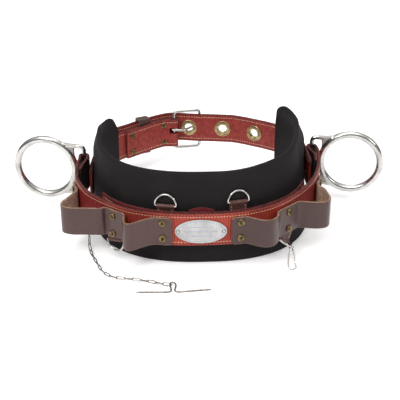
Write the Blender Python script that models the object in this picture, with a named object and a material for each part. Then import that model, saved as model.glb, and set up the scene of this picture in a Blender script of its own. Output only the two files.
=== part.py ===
"""Lineman belt, buckled into a loop and standing on the lower edge of its back pad.

Lengths in the tables are millimetres and become metres when a mesh is made.
+Z is up, -Y is the wearer's back (the nameplate side), +Y is the buckle side.
"""
import math

import bmesh
import bpy
from mathutils import Vector

MM = 0.001
GAP = 0.3

# Where the middle of the loop stands, so that the base of the whole part is centred on the origin
LOOP_CENTER_Y = 27.5

# Waist loop, measured at the pad's outer foot: half width, half depths and squareness
LOOP_HALF_WIDTH = 149.0
LOOP_BACK_DEPTH = 156.5
LOOP_FRONT_DEPTH = 160.0
BACK_SQUARENESS = 2.45
FRONT_SQUARENESS = 2.4
LOOP_SAMPLES = 720

# Back pad
PAD_HEIGHT = 121.5
PAD_THICKNESS = 7.0
PAD_END_RADIUS = 40.0
PAD_FOOT_RADIUS = 22.0
PAD_EDGE_ROUNDING = 2.0
PAD_LEFT_EAR_DROP = 16.0
PAD_RIGHT_EAR_DROP = 1.0
PAD_LEFT_END = (-120.5, 108.5)
PAD_RIGHT_END = (121.0, 108.0)
PAD_LEAN_LEFT = 0.07
PAD_LEAN_RIGHT = 0.16

# Leather straps
STRAP_WIDTH = 44.5
BELT_THICKNESS = 4.0
INNER_THICKNESS = 2.8
WAIST_THICKNESS = 3.6
TOOL_WIDTH = 38.0
TOOL_THICKNESS = 3.0
TOOL_CENTER_Z = 50.0
TOOL_BELT_GAP = 0.8

# Large side rings
RING_CENTER_Z = 58.0
RING_REACH = 55.0
RING_RADIUS = 41.5
RING_BAR_RADIUS = 5.0
ARM_RADIUS = 3.25
ARM_HALF_GAP = 34.5
WEB_EDGE = 13.0
WEB_THICKNESS = 4.0
RING_TURN = 12.0
HEEL_LEFT = (-160.8, 12.0)
HEEL_RIGHT = (160.5, 33.0)

# Small rings on tabs
SMALL_RING_HALF_WIDTH = 13.7
SMALL_RING_DEPTH = 15.2
SMALL_RING_WIRE = 1.2
TAB_WIDTH = 23.0
TAB_PLY = 0.95
TAB_BEND = 5.3
TAB_ABOVE_RIVET = 6.0
TAB_SEWN_Z = 66.0
TAB_PLAY = 0.45

# Front strap heights and the buckle; both straps drop a little towards the wearer's left
STRAP_DROP = 8.0
TONGUE_LOW = 36.0
BILLET_LOW = 30.0
HEEL_BAR_X = -33.0
ROLLER_BAR_X = 6.5
BUCKLE_WIRE = 2.2
BUCKLE_HALF_HEIGHT = 29.5
BUCKLE_CENTER_Z = 56.0
GROMMET_RADIUS = 12.6
GROMMET_HOLE = 6.3
GROMMET_PITCH = 52.5
GROMMET_Z = 58.0
GROMMET_PROUD = 1.8
USED_HOLE_X = -10.0
KEEPER_X = -80.0
KEEPER_WIDTH = 18.0
KEEPER_THICKNESS = 1.4

# Chain and peg
CHAIN_PITCH = 10.3
CHAIN_WIRE = 0.6
LINK_HALF_WIDTH = 1.45
END_LINK_HALF_WIDTH = 2.0
STAPLE_WIRE = 0.8
STAPLE_OUT = 5.0
PEG_WIRE = 1.0
SNAP_WIRE = 0.9
SNAP_REACH = 29.5

# Route of the chain after the staple, down the belt and over the floor, to the peg's loop
CHAIN_ROUTE = (
    (-149.5, -107.0, 20.0),
    (-149.5, -112.0, 9.0),
    (-147.5, -123.0, 2.6),
    (-142.0, -141.5, 1.7),
    (-136.5, -157.0, 1.7),
    (-130.5, -173.5, 1.7),
    (-123.0, -184.0, 1.7),
    (-113.8, -190.8, 1.7),
    (-103.5, -193.2, 1.7),
    (-83.5, -198.0, 1.7),
    (-64.5, -205.6, 2.3),
    (-54.5, -210.8, 2.7),
)

# The peg: two bars and the loop between them
PEG_ROUTE = (
    (-87.0, -226.2, 1.05),
    (-68.0, -226.8, 1.05),
    (-50.5, -227.3, 1.05),
    (-46.2, -226.4, 1.05),
    (-44.5, -223.2, 1.05),
    (-45.3, -217.5, 2.1),
    (-45.9, -213.0, 2.8),
    (-44.8, -209.4, 3.0),
    (-42.3, -208.0, 3.0),
    (-39.8, -209.4, 2.7),
    (-38.7, -213.0, 2.0),
    (-39.3, -217.5, 1.3),
    (-40.1, -223.2, 1.05),
    (-38.4, -226.6, 1.05),
    (-34.0, -227.4, 1.05),
    (-15.0, -225.4, 1.05),
    (4.1, -223.4, 1.05),
)

# Which of the peg's points the last link hooks
PEG_HOOK_POINT = 6

# The snap's wire below its eye: across and along
SNAP_HOOK = ((3.4, 33.0), (4.6, 36.5), (4.3, 41.0), (1.6, 44.6), (-1.8, 44.4), (-4.4, 40.5),
             (-4.5, 30.0), (-3.6, 17.0), (-1.9, 8.0))
SNAP_GATE = ((1.9, 8.0), (3.4, 18.0), (3.3, 30.6))

# Centreline of the outer belt: x, y and the height of its middle
OUTER_BELT_ROWS = (
    (-166.0, 2.0, 58.0),
    (-168.0, -18.0, 57.5),
    (-166.5, -50.0, 56.0),
    (-160.0, -75.0, 55.0),
    (-147.0, -99.0, 53.5),
    (-126.0, -121.0, 52.3),
    (-98.0, -143.5, 51.8),
    (-69.5, -155.5, 51.8),
    (-38.0, -161.6, 51.8),
    (-5.0, -163.4, 51.8),
    (30.0, -162.4, 52.2),
    (56.0, -158.2, 53.0),
    (85.0, -145.8, 54.0),
    (107.0, -128.2, 55.0),
    (131.0, -100.5, 56.0),
    (147.0, -73.0, 57.0),
    (158.0, -40.0, 57.5),
    (165.0, -5.0, 58.0),
    (167.2, 22.0, 58.0),
)

# Colour, roughness and metallic value of each material
MATERIALS = {
    "pad_black": ((0.028, 0.026, 0.028), 0.9, 0.0),
    "red_leather": ((0.3, 0.055, 0.04), 0.6, 0.0),
    "brown_leather": ((0.085, 0.05, 0.045), 0.45, 0.0),
    "plate": ((0.8, 0.8, 0.8), 0.3, 0.4),
    "bright_steel": ((0.75, 0.75, 0.74), 0.25, 1.0),
    "old_brass": ((0.38, 0.3, 0.17), 0.4, 1.0),
    "dark_steel": ((0.3, 0.29, 0.28), 0.4, 1.0),
}


def clear_scene():
    for item in list(bpy.data.objects):
        bpy.data.objects.remove(item, do_unlink=True)


def make_materials():
    made = {}
    for name, (color, roughness, metallic) in MATERIALS.items():
        material = bpy.data.materials.new(name)
        material.use_nodes = True
        shader = material.node_tree.nodes["Principled BSDF"]
        shader.inputs["Base Color"].default_value = (*color, 1.0)
        shader.inputs["Roughness"].default_value = roughness
        shader.inputs["Metallic"].default_value = metallic
        made[name] = material
    return made


def make_empty(name, place, parent=None):
    empty = bpy.data.objects.new(name, None)
    empty.location = place
    empty.parent = parent
    bpy.context.scene.collection.objects.link(empty)
    return empty


def make_object(name, mesh, material, parent):
    """Wrap a mesh in an object under its parent, shaded smooth with sharp corners kept."""
    mesh.shade_smooth()
    mesh.set_sharp_from_angle(angle=math.radians(35))
    mesh.materials.append(material)
    item = bpy.data.objects.new(name, mesh)
    item.parent = parent
    bpy.context.scene.collection.objects.link(item)
    return item


def loft(name, sections, closed=False):
    """Join rings of points into one closed mesh, with caps unless the rings close on themselves."""
    shape = bmesh.new()
    rings = [[shape.verts.new(Vector(point) * MM) for point in section] for section in sections]
    count = len(rings)
    around = len(rings[0])
    for i in range(count if closed else count - 1):
        here, there = rings[i], rings[(i + 1) % count]
        for j in range(around):
            k = (j + 1) % around
            shape.faces.new((here[j], here[k], there[k], there[j]))
    if not closed:
        shape.faces.new(rings[0])
        shape.faces.new(rings[-1])
    bmesh.ops.recalc_face_normals(shape, faces=shape.faces)
    if shape.calc_volume(signed=True) < 0.0:
        bmesh.ops.reverse_faces(shape, faces=shape.faces)
    mesh = bpy.data.meshes.new(name)
    shape.to_mesh(mesh)
    shape.free()
    return mesh


def catmull_rom(points, step, closed=False):
    """Smooth curve through the points, sampled at about equal steps."""
    points = [Vector(p) for p in points]
    if closed:
        ring = [points[-1]] + points + points[:2]
    else:
        first = points[0] * 2.0 - points[1]
        last = points[-1] * 2.0 - points[-2]
        ring = [first] + points + [last]
    fine = []
    pieces = 24
    for i in range(1, len(ring) - 2):
        a, b, c, d = ring[i - 1:i + 3]
        for j in range(pieces):
            t = j / pieces
            fine.append(0.5 * (2.0 * b + (c - a) * t + (2.0 * a - 5.0 * b + 4.0 * c - d) * t ** 2
                               + (3.0 * b - a - 3.0 * c + d) * t ** 3))
    fine.append(ring[-2])
    return even_points(fine, step)


def even_points(points, step):
    """The same line with points at equal distances."""
    lengths = [0.0]
    for a, b in zip(points, points[1:]):
        lengths.append(lengths[-1] + (b - a).length)
    count = max(2, round(lengths[-1] / step))
    result = []
    k = 0
    for i in range(count + 1):
        want = lengths[-1] * i / count
        while k < len(points) - 2 and lengths[k + 1] < want:
            k += 1
        span = lengths[k + 1] - lengths[k]
        t = 0.0 if span == 0.0 else (want - lengths[k]) / span
        result.append(points[k].lerp(points[k + 1], min(1.0, t)))
    return result


def side_normals(line):
    """Level normals of a line seen from above, to the right of its run."""
    normals = []
    for i in range(len(line)):
        a = line[max(0, i - 1)]
        b = line[min(len(line) - 1, i + 1)]
        run = Vector((b[0] - a[0], b[1] - a[1]))
        run.normalize()
        normals.append(Vector((run.y, -run.x)))
    return normals


def shifted(line, amount):
    """The line moved sideways to its right, by one amount or by one for each point."""
    amounts = amount if isinstance(amount, list) else [amount] * len(line)
    result = []
    for point, normal, move in zip(line, side_normals(line), amounts):
        moved = Vector(point)
        moved.x += normal.x * move
        moved.y += normal.y * move
        result.append(moved)
    return result


def ribbon(name, line, thickness, lows, highs, lean=None):
    """A strap on edge along the line, from each low height to each high one.

    lean gives, for each point, how far the strap moves inward for each unit of height.
    """
    half = thickness / 2.0
    corner = min(0.5, thickness / 5.0)
    sections = []
    normals = side_normals(line)
    for i, (point, normal) in enumerate(zip(line, normals)):
        low, high = lows[i], highs[i]
        tilt = lean[i] if lean else 0.0
        ring = []
        for out, up in ((-half, low), (half - corner, low), (half, low + corner),
                        (half, high - corner), (half - corner, high), (-half, high)):
            move = out - tilt * up
            ring.append((point.x + normal.x * move, point.y + normal.y * move, up))
        sections.append(ring)
    return loft(name, sections)


def tube(name, points, radius, sides, closed=False, turn=0.5):
    """A round wire along the points, carried without twist."""
    points = [Vector(p) for p in points]
    count = len(points)
    runs = []
    for i in range(count):
        if closed:
            run = points[(i + 1) % count] - points[i - 1]
        else:
            run = points[min(count - 1, i + 1)] - points[max(0, i - 1)]
        runs.append(run.normalized())
    side = runs[0].orthogonal().normalized()
    sections = []
    for point, run in zip(points, runs):
        side = (side - run * side.dot(run)).normalized()
        other = run.cross(side)
        ring = []
        for j in range(sides):
            angle = 2.0 * math.pi * (j + turn) / sides
            ring.append(point + (side * math.cos(angle) + other * math.sin(angle)) * radius)
        sections.append(ring)
    return loft(name, sections, closed)


def turned(name, profile, center, axis, sides, closed=False):
    """A turned piece: rows of radius and height along the axis, from the seat outwards."""
    axis = Vector(axis).normalized()
    side = axis.orthogonal().normalized()
    other = axis.cross(side)
    sections = []
    for radius, height in profile:
        ring = []
        for j in range(sides):
            angle = 2.0 * math.pi * j / sides
            ring.append(Vector(center) + axis * height
                        + (side * math.cos(angle) + other * math.sin(angle)) * radius)
        sections.append(ring)
    return loft(name, sections, closed)


def boolean(target, cutter, operation):
    """Join or cut, apply the result to the target and remove the cutter."""
    modifier = target.modifiers.new(operation.lower(), "BOOLEAN")
    modifier.operation = operation
    modifier.object = cutter
    bpy.context.view_layer.update()
    graph = bpy.context.evaluated_depsgraph_get()
    mesh = bpy.data.meshes.new_from_object(target.evaluated_get(graph))
    target.modifiers.clear()
    target.data = mesh
    bpy.data.objects.remove(cutter, do_unlink=True)


def loop_line():
    """The pad's outer foot line all round, anticlockwise from above, starting at +Y."""
    line = []
    for i in range(LOOP_SAMPLES + 1):
        angle = math.pi / 2.0 + 2.0 * math.pi * i / LOOP_SAMPLES
        c, s = math.cos(angle), math.sin(angle)
        back = s < 0.0
        power = 2.0 / (BACK_SQUARENESS if back else FRONT_SQUARENESS)
        depth = LOOP_BACK_DEPTH if back else LOOP_FRONT_DEPTH
        x = math.copysign(abs(c) ** power, c) * LOOP_HALF_WIDTH
        y = math.copysign(abs(s) ** power, s) * depth
        line.append(Vector((x, y, 0.0)))
    return line


def part_of_loop(line, start, end, step):
    """The stretch of the loop between the points nearest to start and end, in its own direction."""
    def nearest(place):
        place = Vector((place[0], place[1], 0.0))
        return min(range(len(line)), key=lambda i: (line[i] - place).length)
    first, last = nearest(start), nearest(end)
    if last <= first:
        chosen = line[first:-1] + line[:last + 1]
    else:
        chosen = line[first:last + 1]
    return even_points(chosen, step)


def eased(value, start, end):
    """0 before start and 1 after end, with a smooth rise between them."""
    share = min(1.0, max(0.0, (value - start) / (end - start)))
    return share * share * (3.0 - 2.0 * share)


def pad_lean(point):
    """How much the pad leans in for each unit of height: none at the sides, most at the back right."""
    lean = PAD_LEAN_LEFT + (PAD_LEAN_RIGHT - PAD_LEAN_LEFT) * eased(point[0], 20.0, 110.0)
    return lean * (1.0 - eased(point[1], -60.0, 40.0))


def make_pad(loop, put):
    """The flat back pad with rounded ends, leaning inward, one ear a little higher."""
    line = part_of_loop(loop, PAD_LEFT_END, PAD_RIGHT_END, 15.0)
    ends = [line[0].lerp(line[1], t) for t in (0.0, 0.12, 0.45)]
    tail = [line[-2].lerp(line[-1], t) for t in (0.55, 0.88, 1.0)]
    line = ends + line[1:-1] + tail
    run = [0.0]
    for a, b in zip(line, line[1:]):
        run.append(run[-1] + (b - a).length)
    sections = []
    normals = side_normals(line)
    for i, point in enumerate(line):
        edge = min(run[i], run[-1] - run[i])
        ear_drop = PAD_RIGHT_EAR_DROP if point.x > 0.0 else PAD_LEFT_EAR_DROP
        top = PAD_HEIGHT - ear_drop * eased(point.y, 0.0, 80.0) - corner_drop(edge, PAD_END_RADIUS)
        low = corner_drop(edge, PAD_FOOT_RADIUS)
        lean = pad_lean(point)
        ring = []
        r = PAD_EDGE_ROUNDING
        for out, up in ((-r, low), (r - PAD_THICKNESS, low), (-PAD_THICKNESS, low + r),
                        (-PAD_THICKNESS, top - r), (r - PAD_THICKNESS, top), (-r, top),
                        (0.0, top - r), (0.0, low + r)):
            move = out - lean * up
            ring.append((point.x + normals[i].x * move, point.y + normals[i].y * move, up))
        sections.append(ring)
    put("pad", loft("pad", sections), "pad_black")


def corner_drop(distance, radius):
    """How far a rounded corner falls below its straight edge at a distance from the end."""
    if distance >= radius:
        return 0.0
    inside = radius - distance
    return radius - math.sqrt(max(0.0, radius * radius - inside * inside * 0.985))


def make_inner_belt(loop, put):
    """The backing strap that lies on the pad, under the outer belt."""
    line = part_of_loop(loop, (-131.0, -93.0), (140.0, -70.0), 12.0)
    line = shifted(line, GAP * 2.0 + TAB_PLY * 2.0 + TAB_PLAY * 2.0 + INNER_THICKNESS / 2.0)
    lean = [pad_lean(p) for p in line]
    put("inner_belt", ribbon("inner_belt", line, INNER_THICKNESS, [28.0] * len(line),
                             [28.0 + STRAP_WIDTH] * len(line), lean), "red_leather")
    patch_line = part_of_loop(loop, (-21.0, -156.0), (12.0, -156.0), 5.0)
    patch_line = shifted(patch_line, GAP + TAB_PLY)
    tops = [73.5 + 3.4 * math.sin(math.pi * i / (len(patch_line) - 1)) for i in range(len(patch_line))]
    put("arch_patch", ribbon("arch_patch", patch_line, TAB_PLY * 2.0, [52.0] * len(patch_line), tops,
                             [pad_lean(p) for p in patch_line]), "red_leather")


def fold_line(heel, side, straight, inner_end):
    """Plan line of a strap end that wraps the heel bar: the outer ply, the turn and the inner ply."""
    radius = ARM_RADIUS + GAP + BELT_THICKNESS / 2.0
    center = Vector((heel[0], heel[1], 0.0))
    turn = []
    for i in range(7):
        angle = math.pi * i / 6.0
        turn.append(center + Vector((side * radius * math.cos(angle), radius * math.sin(angle), 0.0)))
    return [Vector(p) for p in straight] + turn + [Vector(p) for p in inner_end]


def make_outer_belt(put):
    """The outer belt runs between the two large rings and wraps the heel bar of each."""
    rows = [Vector(row) for row in OUTER_BELT_ROWS]
    middle = catmull_rom(rows, 13.0)
    left_turn = fold_line(HEEL_LEFT, -1.0, (), ((-156.6, -2.0), (-160.6, -17.0), (-163.1, -34.0)))
    right_turn = fold_line(HEEL_RIGHT, 1.0, (), ((156.4, 20.0), (160.4, 4.0), (159.1, -18.0)))
    left = [Vector((p[0], p[1], 58.0)) for p in left_turn]
    right = [Vector((p[0], p[1], 58.0)) for p in right_turn]
    left_ply = catmull_rom(left[6:], 9.0)
    right_ply = catmull_rom(right[6:], 9.0)
    line = list(reversed(left[:6] + left_ply)) + middle + right[:6] + right_ply
    put("outer_belt", ribbon("outer_belt", line, BELT_THICKNESS,
                             [p.z - STRAP_WIDTH / 2.0 for p in line],
                             [p.z + STRAP_WIDTH / 2.0 for p in line]), "red_leather")
    return middle


class BeltFace:
    """Finds places on the outside of the outer belt."""

    def __init__(self, line):
        self.line = line
        self.normals = side_normals(line)

    def place(self, x=None, side=None, y=None, out=0.0):
        """The point at an x on the back, or at a y on one side, and the normal there."""
        best = None
        for i, (a, b) in enumerate(zip(self.line, self.line[1:])):
            if x is not None:
                low, high, want = a.x, b.x, x
            else:
                if a.x * side < 0.0 or b.x * side < 0.0:
                    continue
                low, high, want = a.y, b.y, y
            if (low - want) * (high - want) <= 0.0 and low != high:
                best = (i, (want - low) / (high - low))
                if x is None or a.y < -40.0:
                    break
        i, t = best
        point = self.line[i].lerp(self.line[i + 1], t)
        normal = self.normals[i].lerp(self.normals[i + 1], t).normalized()
        normal = Vector((normal.x, normal.y, 0.0))
        return point + normal * (BELT_THICKNESS / 2.0 + out), normal


def make_nameplate(face, put):
    """An oval plate that follows the belt, held by two small rivets."""
    center, half_wide, half_high, thick = -5.9, 32.3, 16.4, 1.0
    line = []
    lows = []
    highs = []
    for i in range(17):
        angle = math.pi * (i + 0.35) / 16.7
        x = center - half_wide * math.cos(angle)
        point, _ = face.place(x=x, out=GAP + thick / 2.0)
        line.append(point)
        lows.append(50.0 - half_high * math.sin(angle))
        highs.append(50.0 + half_high * math.sin(angle))
    put("nameplate", ribbon("nameplate", line, thick, lows, highs), "plate")
    for name, x in (("plate_rivet_left", center - 28.6), ("plate_rivet_right", center + 28.6)):
        point, normal = face.place(x=x, out=GAP * 2.0 + thick)
        put_rivet(name, (point.x, point.y, 50.0), normal, 2.0, 0.9, put, "bright_steel", 8)


def put_rivet(name, place, normal, radius, height, put, material="old_brass", sides=10):
    """A low domed rivet head with a rolled rim."""
    profile = ((radius, 0.0), (radius * 0.86, height * 0.8), (radius * 0.4, height))
    put(name, turned(name, profile, place, normal, sides), material)


def make_tool_straps(face, put):
    """Two brown straps that leave the belt in a small loop and a large loop each."""
    out = TOOL_BELT_GAP + TOOL_THICKNESS / 2.0
    over_tab = GAP * 3.0 + TAB_PLY * 2.0 + 0.1

    def hug(xs, out=out):
        return [face.place(x=x, out=out)[0] for x in xs]

    def hug_side(side, ys):
        return [face.place(side=side, y=y, out=out)[0] for y in ys]

    left = hug((-41.0, -47.0, -53.0, -59.0))
    left += [(-70.0, -163.5, 0.0), (-81.0, -169.5, 0.0), (-92.0, -176.5, 0.0), (-98.5, -176.5, 0.0),
             (-101.8, -168.0, 0.0), (-101.8, -158.0, 0.0), (-102.4, -149.5, 0.0)]
    left += hug((-106.0, -112.0, -121.0), over_tab + TOOL_THICKNESS / 2.0)
    left += [(-132.0, -133.0, 0.0), (-152.0, -131.5, 0.0), (-170.0, -130.0, 0.0), (-180.0, -124.0, 0.0),
             (-181.0, -113.0, 0.0), (-175.5, -101.0, 0.0), (-170.0, -89.0, 0.0)]
    left += [face.place(side=-1.0, y=-78.0, out=out + 3.5)[0]]
    left += hug_side(-1.0, (-71.0, -64.0, -56.0, -48.0))
    right = hug((31.5, 37.0, 43.0, 50.0))
    right += [(60.0, -169.0, 0.0), (71.0, -174.5, 0.0), (82.0, -173.5, 0.0), (90.0, -163.0, 0.0),
              (92.0, -152.0, 0.0)]
    right += hug((97.5, 103.0, 110.0), over_tab + TOOL_THICKNESS / 2.0)
    right += [(122.5, -124.0, 0.0), (135.0, -126.5, 0.0), (147.5, -128.0, 0.0), (157.5, -125.0, 0.0),
              (162.5, -115.5, 0.0), (161.5, -101.0, 0.0), (159.5, -87.0, 0.0)]
    right += [face.place(side=1.0, y=-74.0, out=out + 3.5)[0]]
    right += hug_side(1.0, (-66.0, -58.0, -50.0, -42.0))
    low = TOOL_CENTER_Z - TOOL_WIDTH / 2.0
    high = TOOL_CENTER_Z + TOOL_WIDTH / 2.0
    for name, points in (("tool_strap_left", left), ("tool_strap_right", right)):
        flat = [Vector((p[0], p[1], 0.0)) for p in points]
        line = catmull_rom(flat, 6.3)
        lows = [low] * len(line)
        highs = [high] * len(line)
        for end, near in ((0, 1), (-1, -2)):
            lows[end] = low + 3.0
            highs[end] = high - 3.0
            lows[near] = low + 0.8
            highs[near] = high - 0.8
        put(name, ribbon(name, line, TOOL_THICKNESS, lows, highs), "brown_leather")
    seat = TOOL_BELT_GAP + TOOL_THICKNESS + GAP
    tab_seat = over_tab + TOOL_THICKNESS + GAP
    heads = (
        ("tool_rivet_left_inner", -53.0, (62.0, 41.0), seat),
        ("tool_rivet_left_middle", -111.5, (60.5, 36.0), tab_seat),
        ("tool_rivet_right_inner", 43.0, (62.0, 40.5), seat),
        ("tool_rivet_right_middle", 102.0, (61.5, 37.5), tab_seat),
    )
    for name, x, heights, above in heads:
        point, normal = face.place(x=x, out=above)
        for end, z in zip(("top", "bottom"), heights):
            put_rivet(f"{name}_{end}", (point.x, point.y, z), normal, 4.8, 2.0, put)
    for name, side, y in (("tool_rivet_left_outer", -1.0, -58.0), ("tool_rivet_right_outer", 1.0, -51.0)):
        point, normal = face.place(side=side, y=y, out=seat)
        for end, z in (("top", 61.0), ("bottom", 39.0)):
            put_rivet(f"{name}_{end}", (point.x, point.y, z), normal, 4.8, 2.0, put)


def make_tab_and_ring(name, center, along, up, out, reach, put, ring_tilt=0.0, set_back=0.0):
    """A folded tab and the small ring held in its fold.

    center is the middle of the ring's straight bar, up points from the ring to the sewn end,
    and set_back is how far the sewn end lies behind the bar.
    """
    center, along, up, out = (Vector(v) for v in (center, along, up, out))
    radius = SMALL_RING_WIRE + GAP + TAB_PLY / 2.0
    ply = TAB_PLY / 2.0 + 0.05
    start = math.asin(ply / radius)
    profile = [(ply - set_back, reach), (ply - set_back, TAB_BEND), (ply, radius * 1.5)]
    steps = 6
    for i in range(steps + 1):
        angle = math.pi / 2.0 - start - (2.0 * math.pi - 2.0 * start) * i / steps
        profile.append((radius * math.cos(angle), radius * math.sin(angle)))
    profile += [(-ply, radius * 1.5), (-ply - set_back, TAB_BEND), (-ply - set_back, reach)]
    line = [Vector((a, b, 0.0)) for a, b in profile]
    sections = []
    for point, normal in zip(line, side_normals(line)):
        ring = []
        for shift, wide in ((-1, -1), (1, -1), (1, 1), (-1, 1)):
            a = point.x + normal.x * shift * TAB_PLY / 2.0
            b = point.y + normal.y * shift * TAB_PLY / 2.0
            ring.append(center + out * a + up * b + along * (wide * TAB_WIDTH / 2.0))
        sections.append(ring)
    put(f"{name}_tab", loft(name, sections), "brown_leather")
    away = (-up * math.cos(ring_tilt) + out * math.sin(ring_tilt)).normalized()
    wire = [center + along * SMALL_RING_HALF_WIDTH * t for t in (-0.8, 0.0, 0.8)]
    for i in range(9):
        angle = math.pi * i / 8.0
        wire.append(center + along * (SMALL_RING_HALF_WIDTH * math.cos(angle))
                    + away * SMALL_RING_DEPTH * math.sin(angle))
    put(f"{name}_ring", tube(name, wire, SMALL_RING_WIRE, 5, closed=True), "bright_steel")
    return away


def make_small_rings(loop, face, put):
    """Two rings above the back of the belt and two below its sides."""
    for name, x, bar_z in (("top_left", -52.5, 78.3), ("top_right", 41.5, 82.3)):
        line = part_of_loop(loop, (x - TAB_WIDTH / 2.0, -156.0), (x + TAB_WIDTH / 2.0, -156.0), 2.0)
        sewn_at = [p + Vector((n.x, n.y, 0.0)) * -pad_lean(p) * TAB_SEWN_Z
                   for p, n in zip(line, side_normals(line))]
        along = (sewn_at[-1] - sewn_at[0]).normalized()
        out = Vector((along.y, -along.x, 0.0))
        middle = len(line) // 2
        lean = pad_lean(line[middle])
        up = Vector((out.x * lean, out.y * lean, -1.0)).normalized()
        seat = GAP + TAB_PLY + 0.1
        bulge = SMALL_RING_WIRE + GAP + 0.05
        center = sewn_at[middle] + out * (seat + bulge - lean * (bar_z - TAB_SEWN_Z))
        center.z = bar_z
        make_tab_and_ring(name, center, along, up, out, bar_z - 56.0, put, set_back=bulge)


def make_bottom_rings(face, put):
    """A tab and ring below each side of the belt, held under the tool strap by its rivets."""
    rings = {}
    for name, x, z, hang, slant, tilt in (("bottom_left", -113.5, 36.0, 11.0, -12.0, 3.0),
                                          ("bottom_right", 106.0, 38.0, 20.0, 30.0, 76.0)):
        point, out = face.place(x=x, out=GAP + TAB_PLY + 0.05)
        level = Vector((-out.y, out.x, 0.0))
        upright = Vector((0.0, 0.0, 1.0))
        c, s = math.cos(math.radians(slant)), math.sin(math.radians(slant))
        along = level * c - upright * s
        up = upright * c + level * s
        center = Vector((point.x, point.y, z)) - up * hang
        away = make_tab_and_ring(name, center, along, up, out, hang + TAB_ABOVE_RIVET, put, math.radians(tilt))
        rings[name] = (center + away * SMALL_RING_DEPTH, along, away)
    return rings


def make_snap(place, along, put):
    """The wire snap that hangs from the right ring and leans out to the floor."""
    tip = Vector((place.x - 2.0, place.y - SNAP_REACH, SNAP_WIRE + GAP))
    scale = (tip - place).length / SNAP_HOOK[3][1]
    down = (tip - place).normalized()
    across = Vector((-down.y, down.x, 0.0)).normalized()
    coil_down = (down - along * down.dot(along)).normalized()
    coil_side = along.cross(coil_down)
    way = 1.0 if along.dot(across) > 0.0 else -1.0
    eye = 2.7

    def at(q, p):
        return place + across * q + down * (p * scale)

    points = [at(q, p) for q, p in SNAP_HOOK]
    for i in range(13):
        angle = 2.0 * math.pi * i / 12.0
        points.append(place + along * way * (-1.3 + 2.6 * i / 12.0)
                      + (coil_down * math.cos(angle) + coil_side * math.sin(angle)) * eye)
    points += [at(q, p) for q, p in SNAP_GATE]
    put("snap_hook", tube("snap_hook", catmull_rom(points, 2.7), SNAP_WIRE, 5), "bright_steel")


def link_width_direction(n, count, run, out):
    """Each link is turned a quarter from the last; on the floor they lean by an eighth of a turn."""
    up = Vector((0.0, 0.0, 1.0))
    level = up.cross(run)
    level = level.normalized() if level.length > 0.3 else out
    on_floor = (level + up).normalized()
    at_peg = up if (count - 1) % 2 == 0 else level
    from_staple = min(1.0, max(0.0, (n - 1) / 3.0))
    near_peg = min(1.0, max(0.0, (n - count + 4) / 3.0))
    wide = out.lerp(on_floor, from_staple).lerp(at_peg, near_peg)
    wide = (wide - run * wide.dot(run)).normalized()
    return run.cross(wide) if n % 2 else wide


def link_ring(start, end, hook, wide, half_wide):
    """The centreline of an oval link between two joints of the chain."""
    run = (end - start).normalized()
    center = (start + end) / 2.0
    half_long = (end - start).length / 2.0 + hook
    ring = []
    for way in (1.0, -1.0):
        for k in range(4):
            angle = math.pi * (0.5 - k / 3.0)
            reach = half_long - half_wide + half_wide * math.cos(angle)
            ring.append(center + run * way * reach + wide * way * half_wide * math.sin(angle))
    return ring


def make_chain_and_peg(face, put):
    """A staple on the belt, the chain that hangs from it to the floor, and the peg at its end."""
    point, out = face.place(x=-146.5, out=0.0)
    along = Vector((-out.y, out.x, 0.0))
    top = Vector((point.x, point.y, 34.0))
    staple = [top + along * a + out * b for a, b in
              ((-3.2, GAP + 0.1), (-3.2, 3.2), (-2.2, 4.6), (0.0, STAPLE_OUT), (2.2, 4.6), (3.2, 3.2),
               (3.2, GAP + 0.1))]
    put("chain_staple", tube("chain_staple", staple, STAPLE_WIRE, 6), "dark_steel")
    put("peg", tube("peg", catmull_rom(PEG_ROUTE, 4.0), PEG_WIRE, 5), "dark_steel")
    bow = top + out * STAPLE_OUT
    route = [bow] + [Vector(p) for p in CHAIN_ROUTE] + [Vector(PEG_ROUTE[PEG_HOOK_POINT])]
    line = catmull_rom(route, 0.5)
    run = [0.0]
    for a, b in zip(line, line[1:]):
        run.append(run[-1] + (b - a).length)

    def on_route(distance):
        """The route's point at a distance from the staple, also a little past either end."""
        i = max(0, min(len(line) - 2, sum(1 for r in run if r < distance) - 1))
        return line[i].lerp(line[i + 1], (distance - run[i]) / (run[i + 1] - run[i]))

    hook = CHAIN_WIRE * 0.8
    first = hook - (STAPLE_WIRE + CHAIN_WIRE + GAP)
    last = run[-1] + PEG_WIRE + CHAIN_WIRE + GAP - hook
    count = round((last - first) / CHAIN_PITCH)
    pitch = (last - first) / count
    sets = ([], [])
    for n in range(count):
        start = on_route(first + pitch * n)
        end = on_route(first + pitch * (n + 1))
        wide = link_width_direction(n, count, (end - start).normalized(), out)
        half_wide = END_LINK_HALF_WIDTH if n in (0, count - 1) else LINK_HALF_WIDTH
        sets[n % 2].append(link_ring(start, end, hook, wide, half_wide))
    parts = []
    for number, rings in enumerate(sets):
        shape = bmesh.new()
        for ring in rings:
            mesh = tube("link", ring, CHAIN_WIRE, 5, closed=True)
            shape.from_mesh(mesh)
            bpy.data.meshes.remove(mesh)
        mesh = bpy.data.meshes.new("chain")
        shape.to_mesh(mesh)
        shape.free()
        parts.append(put(("chain", "chain_second")[number], mesh, "dark_steel"))
    boolean(parts[0], parts[1], "UNION")
    drop_small_shells(parts[0].data)


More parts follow.
